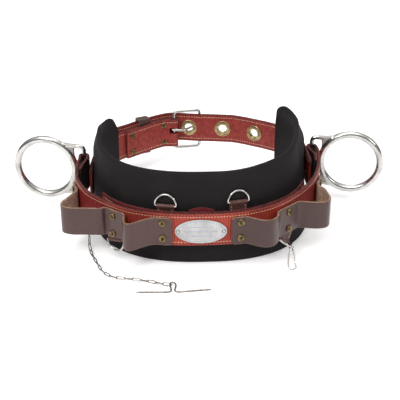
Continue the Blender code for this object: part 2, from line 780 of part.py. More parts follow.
def drop_small_shells(mesh):
    """Remove the tiny closed pockets that fusing the links leaves inside the wire."""
    shape = bmesh.new()
    shape.from_mesh(mesh)
    left = set(shape.verts)
    shells = []
    while left:
        edge = [left.pop()]
        shell = list(edge)
        while edge:
            near = [e.other_vert(v) for v in edge for e in v.link_edges]
            edge = [v for v in dict.fromkeys(near) if v in left]
            left.difference_update(edge)
            shell += edge
        shells.append(shell)
    largest = max(shells, key=len)
    small = [v for shell in shells if shell is not largest for v in shell]
    bmesh.ops.delete(shape, geom=small, context="VERTS")
    shape.to_mesh(mesh)
    shape.free()


def make_ring(name, heel, side, turn, put, axis_empty):
    """A large forged ring: round bow, flat web, two arms and the upright heel bar."""
    c, s = math.cos(math.radians(turn)), math.sin(math.radians(turn))

    def at(u, v, w):
        """u out from the heel bar, v across the ring's plane, w up from its middle."""
        return Vector((side * (u * c) - v * s * side, u * s + v * c, w + RING_CENTER_Z))

    bow = []
    for i in range(22):
        angle = 2.0 * math.pi * (i + 0.5) / 22
        bow.append(at(RING_REACH + RING_RADIUS * math.cos(angle), 0.0, RING_RADIUS * math.sin(angle)))
    ring = put(name, tube(name, bow, RING_BAR_RADIUS, 8, closed=True), "bright_steel", axis_empty)
    arm_end = RING_REACH - 22.0
    stirrup = []
    corner = 3.2
    for sign in (-1.0, 1.0):
        stirrup_half = [(arm_end, 36.2), (20.0, ARM_HALF_GAP), (corner * 1.6, ARM_HALF_GAP),
                        (corner * 0.45, ARM_HALF_GAP - corner * 0.45), (0.0, ARM_HALF_GAP - corner * 1.6)]
        points = [at(u, 0.0, sign * w) for u, w in stirrup_half]
        stirrup += points if sign < 0 else list(reversed(points))
    arms = put(name + "_arms", tube(name, stirrup, ARM_RADIUS, 8), "bright_steel", axis_empty)
    boolean(ring, arms, "UNION")
    outline = [(WEB_EDGE, -ARM_HALF_GAP), (WEB_EDGE, ARM_HALF_GAP), (arm_end, 37.0)]
    hole = RING_RADIUS - 0.8
    start = math.radians(118.0)
    for i in range(13):
        angle = start + (2.0 * math.pi - 2.0 * start) * i / 12
        outline.append((RING_REACH + hole * math.cos(angle), hole * math.sin(angle)))
    outline.append((arm_end, -37.0))
    sections = [[at(u, v, w) for u, w in outline] for v in (-WEB_THICKNESS / 2, WEB_THICKNESS / 2)]
    web = put(name + "_web", loft(name, sections), "bright_steel", axis_empty)
    boolean(ring, web, "UNION")


def make_tongue_strap(loop, put):
    """The punched strap: from the right side of the pad, through the buckle and on behind it."""
    offsets = ((150.0, -20.0, 2.3), (148.0, 30.0, 2.5), (146.0, 55.0, 2.7), (136.0, 86.0, 2.9),
               (118.0, 114.0, 2.6), (60.0, 150.0, 1.4),
               (ROLLER_BAR_X + 14.0, 160.0, 1.5), (ROLLER_BAR_X, 160.0, 2.2), (-8.0, 160.0, 5.0),
               (-22.0, 159.0, 8.6), (HEEL_BAR_X, 158.0, 12.2), (-48.0, 154.0, 13.0), (-62.0, 150.0, 13.2),
               (-78.0, 143.0, 13.6), (-92.0, 135.0, 14.0), (-106.0, 124.0, 14.8), (-126.0, 104.0, 13.4),
               (-134.0, 92.0, 12.6))
    line = line_from_offsets(loop, offsets, 11.0)
    line, places = flat_at_holes(line)
    strap = put("tongue_strap", ribbon("tongue_strap", line, WAIST_THICKNESS,
                                       [TONGUE_LOW - strap_drop(p.x) for p in line],
                                       [TONGUE_LOW + STRAP_WIDTH - strap_drop(p.x) for p in line]),
                "red_leather")
    for k, (point, normal) in enumerate(places):
        center = Vector((point.x, point.y, GROMMET_Z - strap_drop(point.x)))
        cutter = put("hole", turned("hole", ((GROMMET_HOLE + 1.7, -8.0), (GROMMET_HOLE + 1.7, 8.0)),
                                    center, normal, 12), "old_brass")
        boolean(strap, cutter, "DIFFERENCE")
        half = WAIST_THICKNESS / 2.0 + GAP
        sleeve = GROMMET_HOLE + 1.0
        profile = ((GROMMET_HOLE, -half - 0.9), (GROMMET_HOLE, half + 0.9), (GROMMET_RADIUS, half),
                   (sleeve, half), (sleeve, -half), (GROMMET_RADIUS, -half))
        put(f"grommet_{k + 1}", turned("grommet", profile, center, normal, 12, closed=True), "old_brass")
    return line


def flat_at_holes(line):
    """The strap's line made straight at each of its five holes, and each hole's place and normal."""
    along = [0.0]
    for a, b in zip(line, line[1:]):
        along.append(along[-1] + (b - a).length)

    def on_line(distance):
        i = max(j for j in range(len(line) - 1) if along[j] <= distance)
        return line[i].lerp(line[i + 1], (distance - along[i]) / (along[i + 1] - along[i]))

    crossed = max(i for i in range(len(line) - 1) if line[i].x > USED_HOLE_X)
    share = (line[crossed].x - USED_HOLE_X) / (line[crossed].x - line[crossed + 1].x)
    used = along[crossed] + share * (along[crossed + 1] - along[crossed])
    flat = GROMMET_RADIUS + 1.0
    kept = dict(zip(along, line))
    places = []
    for k in (-2, -1, 0, 1, 2):
        want = used + k * GROMMET_PITCH
        ends = [on_line(want - flat), on_line(want + flat)]
        kept = {s: p for s, p in kept.items() if abs(s - want) > flat + 2.5}
        kept[want - flat], kept[want + flat] = ends
        normal = side_normals(ends)[0]
        places.append(((ends[0] + ends[1]) / 2.0, Vector((normal.x, normal.y, 0.0))))
    return [kept[s] for s in sorted(kept)], places


def strap_drop(x):
    """How far the waist straps lie below their buckle height at an x."""
    return STRAP_DROP * eased(-x, 35.0, 110.0)


def line_from_offsets(loop, rows, step):
    """A smooth line past rows of x, y and distance outside the loop, from right to left."""
    points = []
    for x, y, out in rows:
        place = Vector((x, y, 0.0))
        i = min(range(1, len(loop) - 1), key=lambda k: (loop[k] - place).length)
        run = (loop[i + 1] - loop[i - 1]).normalized()
        points.append(loop[i] + Vector((run.y, -run.x, 0.0)) * out)
    return catmull_rom(points, step)


def make_buckle_strap(loop, put):
    """The buckle's strap, folded round the heel bar, and its billet with four rivets."""
    rows_outer = ((-149.0, -15.0, 2.2), (-149.0, 20.0, 2.2), (-143.0, 62.0, 2.8), (-124.0, 106.0, 6.4),
                  (-106.0, 124.0, 7.2), (-92.0, 135.0, 7.6), (-78.0, 143.0, 7.8), (-62.0, 150.0, 7.4),
                  (-48.0, 154.0, 7.2))
    rows_inner = ((-48.0, 154.0, 3.2), (-62.0, 150.0, 1.9), (-78.0, 143.0, 1.0), (-92.0, 135.0, 1.7),
                  (-103.0, 126.5, 2.9))
    radius = BUCKLE_WIRE + GAP * 2.0 + WAIST_THICKNESS / 2.0
    heel = Vector((HEEL_BAR_X, 161.0, 0.0))
    outer = line_from_offsets(loop, rows_outer, 11.0)
    inner = line_from_offsets(loop, rows_inner, 11.0)
    run = Vector((1.0, 0.13, 0.0)).normalized()
    across = Vector((-run.y, run.x, 0.0))
    turn = []
    for i in range(7):
        angle = math.pi / 2.0 - math.pi * i / 6.0
        turn.append(heel + (run * math.cos(angle) + across * math.sin(angle)) * radius)
    line = outer + turn + inner
    strap = put("buckle_strap", ribbon("buckle_strap", line, WAIST_THICKNESS,
                                       [BILLET_LOW - strap_drop(p.x) for p in line],
                                       [BILLET_LOW + STRAP_WIDTH - strap_drop(p.x) for p in line]),
                "red_leather")
    slot = put("slot", box_mesh("slot", (HEEL_BAR_X - 7.0, 150.0, GROMMET_Z - 6.5),
                                (HEEL_BAR_X + 12.0, 172.0, GROMMET_Z + 2.5)), "old_brass")
    boolean(strap, slot, "DIFFERENCE")
    normals = side_normals(line)
    billet = range(len(outer) + len(turn), len(line) - 1)
    for name, x in (("billet_rivet_near", -50.5), ("billet_rivet_far", -98.0)):
        i = min(billet, key=lambda k: abs(line[k].x + line[k + 1].x - 2.0 * x))
        middle = (line[i] + line[i + 1]) / 2.0
        inward = -(normals[i] + normals[i + 1]).normalized()
        inward = Vector((inward.x, inward.y, 0.0))
        for end, z in (("top", 65.5), ("bottom", 39.0)):
            place = middle + inward * (WAIST_THICKNESS / 2.0 + GAP * 2.5)
            put_rivet(f"{name}_{end}", (place.x, place.y, z - strap_drop(x)), inward, 4.2, 1.8, put)
    return outer


def box_mesh(name, low, high):
    (x0, y0, z0), (x1, y1, z1) = low, high
    sections = [[(x0, y0, z), (x1, y0, z), (x1, y1, z), (x0, y1, z)] for z in (z0, z1)]
    return loft(name, sections)


def make_buckle(put):
    """The frame, with its heel bar in the fold and the tongue strap inside its roller bar."""
    heel = Vector((HEEL_BAR_X, 161.0, 0.0))
    roller = Vector((ROLLER_BAR_X, 167.0, 0.0))
    corner = 5.0
    run = (roller - heel).normalized()
    low = BUCKLE_CENTER_Z - BUCKLE_HALF_HEIGHT
    high = BUCKLE_CENTER_Z + BUCKLE_HALF_HEIGHT

    def at(place, z):
        return Vector((place.x, place.y, z))

    points = []
    for start, step, z, toward in ((heel, run, low, 1.0), (roller, -run, low, 1.0),
                                   (roller, -run, high, -1.0), (heel, run, high, -1.0)):
        bend = [at(start, z + toward * corner), at(start + step * corner * 0.3, z + toward * corner * 0.3),
                at(start + step * corner, z)]
        if (start is roller) == (z == low):
            bend.reverse()
        points += bend
    put("buckle_frame", tube("buckle_frame", points, BUCKLE_WIRE, 8, closed=True), "bright_steel")
    return heel, roller


def make_prong(put, heel, roller):
    """The prong, curled round the heel bar, passing the grommet and resting on the roller bar."""
    wire = 1.7
    radius = BUCKLE_WIRE + GAP + wire
    z = GROMMET_Z - 1.0
    points = []
    for i in range(9):
        angle = math.radians(20.0 + 235.0 * i / 8.0)
        points.append((heel.x + radius * math.cos(angle), heel.y + radius * math.sin(angle), z))
    points += [(-24.5, 155.9, z), (-17.8, 157.2, z), (-13.4, 161.0, z), (-9.5, 165.4, z),
               (-5.4, 169.6, z), (0.0, 171.7, z), (roller.x + 2.5, roller.y + radius + 0.1, z)]
    put("buckle_prong", tube("buckle_prong", catmull_rom(points, 3.0), wire, 6), "bright_steel")


def make_keeper(outer, tongue, put):
    """The brown loop that holds the strap's tail, seen above the billet."""
    middle = min(range(len(outer)), key=lambda i: abs(outer[i].x - KEEPER_X))
    run = (outer[middle + 1] - outer[middle - 1]).normalized()
    across = Vector((-run.y, run.x, 0.0))
    center = outer[middle] + run * (KEEPER_X - outer[middle].x)
    tail = min(tongue, key=lambda p: (p - center).length)
    inside = -(WAIST_THICKNESS / 2.0 + GAP * 4.0)
    outside = (tail - center).dot(across) + WAIST_THICKNESS / 2.0 + GROMMET_PROUD
    slope = strap_drop(KEEPER_X - KEEPER_WIDTH / 2.0) - strap_drop(KEEPER_X)
    low = BILLET_LOW - strap_drop(KEEPER_X) - slope - GAP * 2.0
    high = TONGUE_LOW + STRAP_WIDTH - strap_drop(KEEPER_X) + slope + GAP * 2.0
    sections = []
    for way, grow in ((-0.5, 0.0), (-0.5, KEEPER_THICKNESS), (0.5, KEEPER_THICKNESS), (0.5, 0.0)):
        ring = []
        for off, z in ((inside - grow, low - grow), (outside + grow, low - grow),
                       (outside + grow, high + grow), (inside - grow, high + grow)):
            place = center + run * (KEEPER_WIDTH * way) + across * off
            ring.append((place.x, place.y, z))
        sections.append(ring)
    put("keeper", loft("keeper", sections, closed=True), "brown_leather")


def build():
    clear_scene()
    materials = make_materials()
    center = make_empty("loop_center", (0.0, LOOP_CENTER_Y * MM, 0.0))

    def put(name, mesh, material, parent=None):
        return make_object(name, mesh, materials[material], parent or center)

    loop = loop_line()
    make_pad(loop, put)
    make_inner_belt(loop, put)
    middle = make_outer_belt(put)
    face = BeltFace(middle)
    make_nameplate(face, put)
    make_tool_straps(face, put)
    make_small_rings(loop, face, put)
    rings = make_bottom_rings(face, put)
    low_point, along, _ = rings["bottom_right"]
    make_snap(low_point, along, put)
    make_chain_and_peg(face, put)
    for name, heel, side, turn in (("ring_left", HEEL_LEFT, -1.0, RING_TURN),
                                   ("ring_right", HEEL_RIGHT, 1.0, -RING_TURN)):
        axis = make_empty(name + "_axis", (heel[0] * MM, heel[1] * MM, 0.0), center)
        make_ring(name, heel, side, turn, put, axis)
    tongue = make_tongue_strap(loop, put)
    outer = make_buckle_strap(loop, put)
    heel, roller = make_buckle(put)
    make_prong(put, heel, roller)
    make_keeper(outer, tongue, put)


build()
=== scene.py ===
from math import asin, copysign, cos, hypot, pi, radians, sin, sqrt, tau

import bmesh
import bpy
from mathutils import Matrix, Vector, noise
from mathutils.bvhtree import BVHTree
from mathutils.kdtree import KDTree


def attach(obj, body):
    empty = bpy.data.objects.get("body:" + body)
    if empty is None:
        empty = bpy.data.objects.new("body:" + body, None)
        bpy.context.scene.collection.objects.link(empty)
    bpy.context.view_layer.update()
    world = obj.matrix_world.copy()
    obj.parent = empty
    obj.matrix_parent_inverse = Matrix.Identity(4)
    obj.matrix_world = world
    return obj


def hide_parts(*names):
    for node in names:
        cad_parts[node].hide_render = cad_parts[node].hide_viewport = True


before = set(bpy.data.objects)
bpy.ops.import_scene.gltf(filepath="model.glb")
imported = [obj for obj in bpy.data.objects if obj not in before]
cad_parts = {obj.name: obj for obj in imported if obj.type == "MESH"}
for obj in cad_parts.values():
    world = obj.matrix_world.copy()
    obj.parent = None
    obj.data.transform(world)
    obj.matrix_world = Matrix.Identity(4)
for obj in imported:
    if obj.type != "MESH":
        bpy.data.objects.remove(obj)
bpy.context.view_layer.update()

mm = 0.001
gap = 0.3
loopMiddle = Vector((0, 27.5, 0))       # the waist loop's middle in the part's frame, in mm
upright = Vector((0, 0, 1))


# node helpers

def arithmetic(operation, swapped=False):
    def run(self, *others):
        values = (*others, self) if swapped else (self, *others)
        return self.finish.node("ShaderNodeMath", {"operation": operation}, values)
    return run


class Socket:
    def __init__(self, finish, link):
        self.finish = finish
        self.link = link

    __add__ = arithmetic("ADD")
    __sub__ = arithmetic("SUBTRACT")
    __mul__ = arithmetic("MULTIPLY")
    __truediv__ = arithmetic("DIVIDE")
    __pow__ = arithmetic("POWER")
    __abs__ = arithmetic("ABSOLUTE")
    __rsub__ = arithmetic("SUBTRACT", True)


class Finish:
    def __init__(self, name):
        self.material = bpy.data.materials.new(name)
        self.material.use_nodes = True
        self.tree = self.material.node_tree
        self.shader = self.tree.nodes["Principled BSDF"]

    def node(self, kind, settings=None, values=(), output=0):
        made = self.tree.nodes.new(kind)
        for key, value in (settings or {}).items():
            setattr(made, key, value)
        pairs = values.items() if isinstance(values, dict) else enumerate(values)
        for key, value in pairs:
            if isinstance(value, Socket):
                self.tree.links.new(value.link, made.inputs[key])
            else:
                made.inputs[key].default_value = value
        return Socket(self, made.outputs[output])

    def place(self, kind="Object"):
        return self.node("ShaderNodeTexCoord", output=kind)

    def parts(self, vector):
        return [self.node("ShaderNodeSeparateXYZ", None, [vector], i) for i in range(3)]

    def speckle(self, vector, scale, detail=3, roughness=0.55):
        return self.node("ShaderNodeTexNoise", None,
                         {"Vector": vector, "Scale": scale, "Detail": detail, "Roughness": roughness})

    def cells(self, vector, scale):
        return self.node("ShaderNodeTexVoronoi", None, {"Vector": vector, "Scale": scale})

    def mixed(self, share, first, second):
        return self.node("ShaderNodeMix", {"data_type": "RGBA"}, {0: share, 6: first, 7: second}, 2)

    def between(self, value, start, end, low=0, high=1):
        return self.node("ShaderNodeMapRange", {"interpolation_type": "SMOOTHSTEP"},
                         [value, start, end, low, high])

    def named(self, name):
        return self.node("ShaderNodeAttribute", {"attribute_name": name}, (), "Fac")

    def bump(self, height, strength, distance):
        return self.node("ShaderNodeBump", None,
                         {"Height": height, "Strength": strength, "Distance": distance})

    def wear(self, **sockets):
        for name, value in sockets.items():
            socket = self.shader.inputs[name.replace("_", " ")]
            if isinstance(value, Socket):
                self.tree.links.new(value.link, socket)
            else:
                socket.default_value = value
        return self.material


def paint(red, green, blue):
    values = [(c / 255 / 12.92) if c < 10.3 else ((c / 255 + 0.055) / 1.055) ** 2.4
              for c in (red, green, blue)]
    return (*values, 1)


# finishes

def leather(name, look):
    made = Finish(name)
    place = made.place()
    along, up, _ = made.parts(made.place("UV"))
    side = made.named("side")
    across = abs(made.parts(place)[0])
    patches = made.speckle(place, 26, 4, 0.6)
    mottle = made.speckle(place, 210, 4, 0.65)
    grain = made.cells(place, look["grain"])
    pores = made.speckle(place, 1900, 2, 0.5)
    ribs = made.node("ShaderNodeMath", {"operation": "SINE"},
                     [along * look["ribs"] + mottle * 5 + patches * 9])
    color = made.mixed(made.between(across, look["fadeFrom"], look["fadeTo"]), look["middle"], look["sides"])
    color = made.mixed(made.between(patches, 0.42, 0.66, 0, 0.4), color, look["dark"])
    color = made.mixed(made.between(mottle, 0.42, 0.64, 0, 0.22), color, look["light"])
    color = made.mixed(made.between(ribs, 0.35, 1, 0, look["ribShade"]), color, look["dark"])
    rub = made.between(abs(up), look["rubFrom"], look["rubTo"], 0, 1) * made.between(mottle, 0.4, 0.6)
    color = made.mixed(rub * 0.5, color, look["light"])
    back = made.mixed(made.between(mottle, 0.35, 0.65), look["back"], look["backDark"])
    color = made.mixed(made.between(side, -0.35, -0.75), color, back)
    edge = made.between(abs(side), look["edgeFrom"], look["edgeFrom"] - 0.35)
    rim = made.mixed(made.between(mottle, 0.38, 0.62), look["edge"], look["edgeDark"])
    color = made.mixed(edge, color, rim)
    rough = made.between(mottle, 0.3, 0.7, look["rough"] - 0.07, look["rough"] + 0.09) + edge * 0.12
    rough = rough + made.between(side, -0.35, -0.75) * look["backRough"]
    relief = ribs * look["ribDepth"] + grain * 0.5 + pores * 0.35 + mottle * 0.6
    return made.wear(Base_Color=color, Roughness=rough,
                     Normal=made.bump(relief, look["bump"], 0.0006), Specular_IOR_Level=look["shine"])


redLook = {
    "middle": paint(176, 62, 44), "sides": paint(134, 34, 38), "dark": paint(104, 26, 30),
    "light": paint(196, 88, 64), "fadeFrom": 0.05, "fadeTo": 0.15,
    "grain": 620, "ribs": 2100, "ribShade": 0.5, "ribDepth": 1.1, "bump": 0.5,
    "rubFrom": 0.0185, "rubTo": 0.0222, "rough": 0.5, "backRough": 0.2, "shine": 0.4,
    "back": paint(48, 40, 40), "backDark": paint(30, 26, 27),
    "edge": paint(104, 40, 34), "edgeDark": paint(60, 26, 26), "edgeFrom": 0.9,
}
innerLook = dict(redLook, middle=paint(128, 32, 40), sides=paint(112, 28, 40), dark=paint(78, 20, 30),
                 light=paint(146, 52, 54))
waistLook = dict(redLook, middle=paint(168, 62, 52), sides=paint(160, 54, 48), dark=paint(128, 36, 34),
                 light=paint(188, 88, 72), back=paint(166, 60, 50), backDark=paint(138, 40, 36),
                 backRough=0, ribShade=0.3, edge=paint(104, 36, 34))
brownLook = {
    "middle": paint(80, 52, 48), "sides": paint(76, 49, 45), "dark": paint(56, 36, 34),
    "light": paint(93, 64, 58), "fadeFrom": 0.05, "fadeTo": 0.2,
    "grain": 800, "ribs": 900, "ribShade": 0.08, "ribDepth": 0.1, "bump": 0.14,
    "rubFrom": 0.0155, "rubTo": 0.0185, "rough": 0.34, "backRough": 0.4, "shine": 0.5,
    "back": paint(184, 158, 136), "backDark": paint(150, 124, 106),
    "edge": paint(158, 126, 98), "edgeDark": paint(112, 84, 66), "edgeFrom": 0.72,
}
darkBrownLook = dict(brownLook, middle=paint(71, 45, 41), sides=paint(67, 42, 38), dark=paint(50, 31, 29),
                     light=paint(84, 56, 50))
tabLook = dict(brownLook, middle=paint(104, 66, 54), sides=paint(98, 62, 52), dark=paint(70, 44, 38),
               back=paint(98, 62, 52), backDark=paint(74, 46, 40), backRough=0.1,
               edge=paint(120, 84, 66), edgeDark=paint(84, 58, 48), rough=0.45)


def metal(name, look):
    made = Finish(name)
    place = made.place()
    cloud = made.speckle(place, look["cloud"], 4, 0.6)
    fine = made.speckle(place, 1500, 2, 0.6)
    stretched = made.node("ShaderNodeMapping", None, {0: place, 3: (1, 1, 6)})
    scratch = made.speckle(stretched, 700, 2, 0.7)
    dulledAndShaded = made.named("dull")
    color = made.mixed(made.between(cloud, 0.38, 0.66), look["bright"], look["deep"])
    # The dull mark turns the colour towards the flat colour: a matte finish on the side rings' webs, a duller
    # band on the grommets' flanges, and painted shade in the rivets' hollow centres and round their rims.
    color = made.mixed(dulledAndShaded, color, look["flat"])
    rough = made.between(cloud, 0.35, 0.68, look["rough"], look["rough"] + look["spread"])
    rough = rough + dulledAndShaded * 0.3 + made.between(scratch, 0.55, 0.7, 0, 0.08)
    return made.wear(Base_Color=color, Roughness=rough, Metallic=1 - dulledAndShaded * 0.45,
                     Normal=made.bump(cloud + fine * 0.3, look["bump"], 0.0004))


steelLook = {"cloud": 60, "bright": paint(206, 204, 201), "deep": paint(184, 181, 177),
             "flat": paint(172, 166, 161), "rough": 0.2, "spread": 0.08, "bump": 0.03}
brassLook = {"cloud": 240, "bright": paint(196, 174, 128), "deep": paint(140, 118, 82),
             "flat": paint(64, 54, 42), "rough": 0.3, "spread": 0.14, "bump": 0.08}
# on the antique rivets the flat colour is near black: the painted shade in their hollow centres and round
# their rims
antiqueLook = dict(brassLook, bright=paint(146, 124, 82), deep=paint(86, 72, 50), flat=paint(30, 24, 18))
chainLook = {"cloud": 300, "bright": paint(176, 170, 164), "deep": paint(118, 110, 104),
             "flat": paint(90, 80, 72), "rough": 0.3, "spread": 0.15, "bump": 0.1}
plateLook = {"border": 0.0298, "flat": 0.47, "rivetAt": 0.0288, "seat": 0.0021, "rows": (0.0062, 0, -0.0062),
             "halfRow": (0.016, 0.0215, 0.014), "halfLine": 0.00075}


def plateFinish():
    made = Finish("plateFinish")
    x, y, _ = made.parts(made.place("UV"))
    place = made.place()
    cloud = made.speckle(place, 90, 3, 0.6)
    fine = made.speckle(made.node("ShaderNodeMapping", None, {0: place, 3: (0.4, 1, 6)}), 1300, 2, 0.6)
    lines = None
    for height, reach in zip(plateLook["rows"], plateLook["halfRow"]):
        line = made.between(abs(y - height), plateLook["halfLine"], 0.0005)
        line = line * made.between(abs(x), reach, reach - 0.0006)
        lines = line if lines is None else lines + line
    oval = (x / plateLook["border"]) ** 2 + (y / (plateLook["border"] * plateLook["flat"])) ** 2
    oval = made.between(abs(oval - 1), 0.07, 0.03)
    marks = made.node("ShaderNodeMath", {"operation": "MINIMUM"}, [lines + oval, 1])
    color = made.mixed(made.between(cloud, 0.35, 0.7), paint(198, 197, 196), paint(176, 175, 174))
    color = made.mixed(marks * 0.7, color, paint(150, 166, 190))
    # Painted shade: a dark ring round each plate rivet's head, where the head meets the plate.
    hole = ((abs(x) - plateLook["rivetAt"]) ** 2 + y ** 2) ** 0.5
    seat = made.between(abs(hole - plateLook["seat"]), 0.0009, 0.0004)
    color = made.mixed(seat * 0.8, color, paint(84, 78, 76))
    return made.wear(Base_Color=color, Metallic=0.35, Roughness=made.between(cloud, 0.3, 0.7, 0.24, 0.36),
                     Normal=made.bump(fine * 0.2 - marks, 0.3, 0.0003))


def padFinish():
    made = Finish("padFinish")
    place = made.place()
    cloud = made.speckle(place, 22, 4, 0.6)
    felt = made.speckle(place, 1500, 3, 0.7)
    pebble = made.cells(place, 900)
    color = made.mixed(made.between(cloud, 0.35, 0.68), paint(24, 21, 22), paint(34, 30, 31))
    color = made.mixed(made.between(felt, 0.5, 0.72, 0, 0.35), color, paint(50, 46, 46))
    rough = made.between(cloud, 0.3, 0.7, 0.74, 0.88)
    return made.wear(Base_Color=color, Roughness=rough, Specular_IOR_Level=0.2,
                     Normal=made.bump(felt + pebble * 0.6, 0.35, 0.0005))


def threadFinish(name, light, dark):
    made = Finish(name)
    place = made.place()
    strand = made.speckle(place, 1400, 2, 0.6)
    color = made.mixed(made.between(strand, 0.35, 0.65), light, dark)
    return made.wear(Base_Color=color, Roughness=made.between(strand, 0.3, 0.7, 0.6, 0.8),
                     Normal=made.bump(strand, 0.4, 0.0003))


finishes = {
    "beltRed": leather("beltRed", redLook),
    "innerRed": leather("innerRed", innerLook),
    "waistRed": leather("waistRed", waistLook),
    "toolBrown": leather("toolBrown", brownLook),
    "darkBrown": leather("darkBrown", darkBrownLook),
    "tabBrown": leather("tabBrown", tabLook),
    "steel": metal("steel", steelLook),
    "brass": metal("brass", brassLook),
    "antique": metal("antique", antiqueLook),
    "chainSteel": metal("chainSteel", chainLook),
    "plate": plateFinish(),
    "pad": padFinish(),
    "tanThread": threadFinish("tanThread", paint(232, 200, 168), paint(196, 156, 124)),
    "darkThread": threadFinish("darkThread", paint(40, 22, 24), paint(24, 16, 18)),
}
print("finishes made:", len(finishes))


# lines and meshes

def eased(value, start, end):
    share = min(1, max(0, (value - start) / (end - start)))
    return share * share * (3 - 2 * share)


def lengthsAlong(points):
    run = [0]
    for a, b in zip(points, points[1:]):
        run.append(run[-1] + (b - a).length)
    return run


def pointAt(points, run, distance):
    i = max(0, min(len(points) - 2, sum(1 for r in run if r < distance) - 1))
    return points[i].lerp(points[i + 1], (distance - run[i]) / max(1e-9, run[i + 1] - run[i]))


def evenly(points, step, ends=()):
    # equal steps, with extra places near both ends for their rounding
    run = lengthsAlong(points)
    count = max(2, round(run[-1] / step))
    places = [run[-1] * i / count for i in range(count + 1)]
    if ends:
        reach = ends[-1]
        places = [p for p in places if reach < p < run[-1] - reach]
        places = [0, *ends, *places, *[run[-1] - e for e in reversed(ends)], run[-1]]
    result = []
    k = 0
    for want in places:
        while k < len(points) - 2 and run[k + 1] < want:
            k += 1
        result.append(points[k].lerp(points[k + 1], min(1, (want - run[k]) / max(1e-9, run[k + 1] - run[k]))))
    return result


def smoothLine(points, step, ends=()):
    # a smooth line through the points, carried on past both ends
    points = [Vector(p) for p in points]
    row = [points[0] * 2 - points[1]] + points + [points[-1] * 2 - points[-2]]
    fine = []
    for i in range(1, len(row) - 2):
        a, b, c, d = row[i - 1:i + 3]
        for j in range(24):
            t = j / 24
            fine.append(0.5 * (2 * b + (c - a) * t + (2 * a - 5 * b + 4 * c - d) * t ** 2
                               + (3 * b - a - 3 * c + d) * t ** 3))
    fine.append(row[-2])
    return evenly(fine, step, ends)


def raised(point, z=0):
    return Vector((point[0], point[1], z))


def circle(count, radius=1):
    return [(radius * cos(tau * i / count), radius * sin(tau * i / count)) for i in range(count)]


def levelNormals(line):
    normals = []
    for i in range(len(line)):
        a = line[max(0, i - 1)]
        b = line[min(len(line) - 1, i + 1)]
        run = Vector((b.x - a.x, b.y - a.y, 0)).normalized()
        normals.append(Vector((run.y, -run.x, 0)))
    return normals


def shifted(line, amount):
    return [p + n * amount for p, n in zip(line, levelNormals(line))]


def placed(name, data):
    item = bpy.data.objects.new(name, data)
    bpy.context.scene.collection.objects.link(item)
    return item


def finished(name, mesh, finish, body="belt", nodes=(), sharp=50):
    mesh.shade_smooth()
    mesh.set_sharp_from_angle(angle=radians(sharp))
    mesh.materials.clear()
    mesh.materials.append(finishes[finish])
    piece = placed(name, mesh)
    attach(piece, body)
    if nodes:
        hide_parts(*nodes)
    return piece


def meshFrom(name, shape):
    bmesh.ops.recalc_face_normals(shape, faces=shape.faces)
    if shape.calc_volume(signed=True) < 0:
        bmesh.ops.reverse_faces(shape, faces=shape.faces)
    mesh = bpy.data.meshes.new(name)
    shape.to_mesh(mesh)
    shape.free()
    return mesh


def skin(name, sections, marks=None, closed=False, home=loopMiddle):
    # joins rings of points in mm; marks give u, v and side for each point
    shape = bmesh.new()
    rings = [[shape.verts.new((Vector(p) + home) * mm) for p in section] for section in sections]
    around = len(rings[0])
    for i in range(len(rings) if closed else len(rings) - 1):
        here, there = rings[i], rings[(i + 1) % len(rings)]
        for j in range(around):
            k = (j + 1) % around
            shape.faces.new((here[j], here[k], there[k], there[j]))
    if not closed:
        shape.faces.new(rings[0])
        shape.faces.new(rings[-1])
    mesh = meshFrom(name, shape)
    if marks:
        flat = [m for section in marks for m in section]
        layer = mesh.uv_layers.new(name="UVMap")
        for loop in mesh.loops:
            u, v, _ = flat[loop.vertex_index]
            layer.data[loop.index].uv = (u * mm, v * mm)
        side = mesh.attributes.new("side", "FLOAT", "POINT")
        for i, (_, _, value) in enumerate(flat):
            side.data[i].value = value
    return mesh


def bandSection(thickness, low, high, corner, groove, rows):
    # a band's outline: distance out, height and which side it is on
    half = thickness / 2
    ups = [(low + corner, 0)]
    if groove:
        ups += [(low + 3.7, 0), (low + 4.9, groove), (low + 6.1, 0)]
    inner = 6.1 if groove else corner
    for i in range(1, rows + 1):
        ups.append((low + inner + (high - low - 2 * inner) * i / (rows + 1), 0))
    if groove:
        ups += [(high - 6.1, 0), (high - 4.9, groove), (high - 3.7, 0)]
    ups.append((high - corner, 0))
    outline = [(half - deep, up, 1) for up, deep in ups]
    for way in (1, -1):
        turns = (0.25, 0.5, 0.75, 1) if way > 0 else (0.75, 0.5, 0.25)
        for t in turns:
            angle = pi / 2 * t
            outline.append((way * (half - corner + corner * cos(angle)),
                            high - corner + corner * sin(angle), way * (1 - t)))
    outline += [(-half + deep, up, -1) for up, deep in reversed(ups)]
    for way in (-1, 1):
        turns = (0.25, 0.5, 0.75, 1) if way < 0 else (0.75, 0.5, 0.25)
        for t in turns:
            angle = pi / 2 * t
            outline.append((way * (half - corner + corner * cos(angle)),
                            low + corner - corner * sin(angle), way * (1 - t)))
    return outline


def band(name, places, thickness, corner=1.1, groove=0.22, rows=3, closed=False, lined=()):
    # places: point, outward direction, upward direction, low and high of each section
    # lined: sections, counted along the band, that show their lining on both faces
    run = lengthsAlong([p[0] for p in places])
    sections = []
    marks = []
    for i, (point, out, up, low, high) in enumerate(places):
        near = min(run[i], run[-1] - run[i])
        pinch = 0
        if not closed and near < corner:
            pinch = corner - sqrt(max(0, corner ** 2 - (corner - near) ** 2))
        outline = bandSection(thickness - 2 * pinch * 0.8, low + pinch, high - pinch,
                              min(corner, (thickness - 2 * pinch * 0.8) / 2 - 0.05), groove, rows)
        middle = (low + high) / 2
        sections.append([point + out * o + up * h for o, h, _ in outline])
        both = -1 if i in lined else 1
        marks.append([(run[i], h - middle, -abs(side) if both < 0 else side) for _, h, side in outline])
    return skin(name, sections, marks, closed)


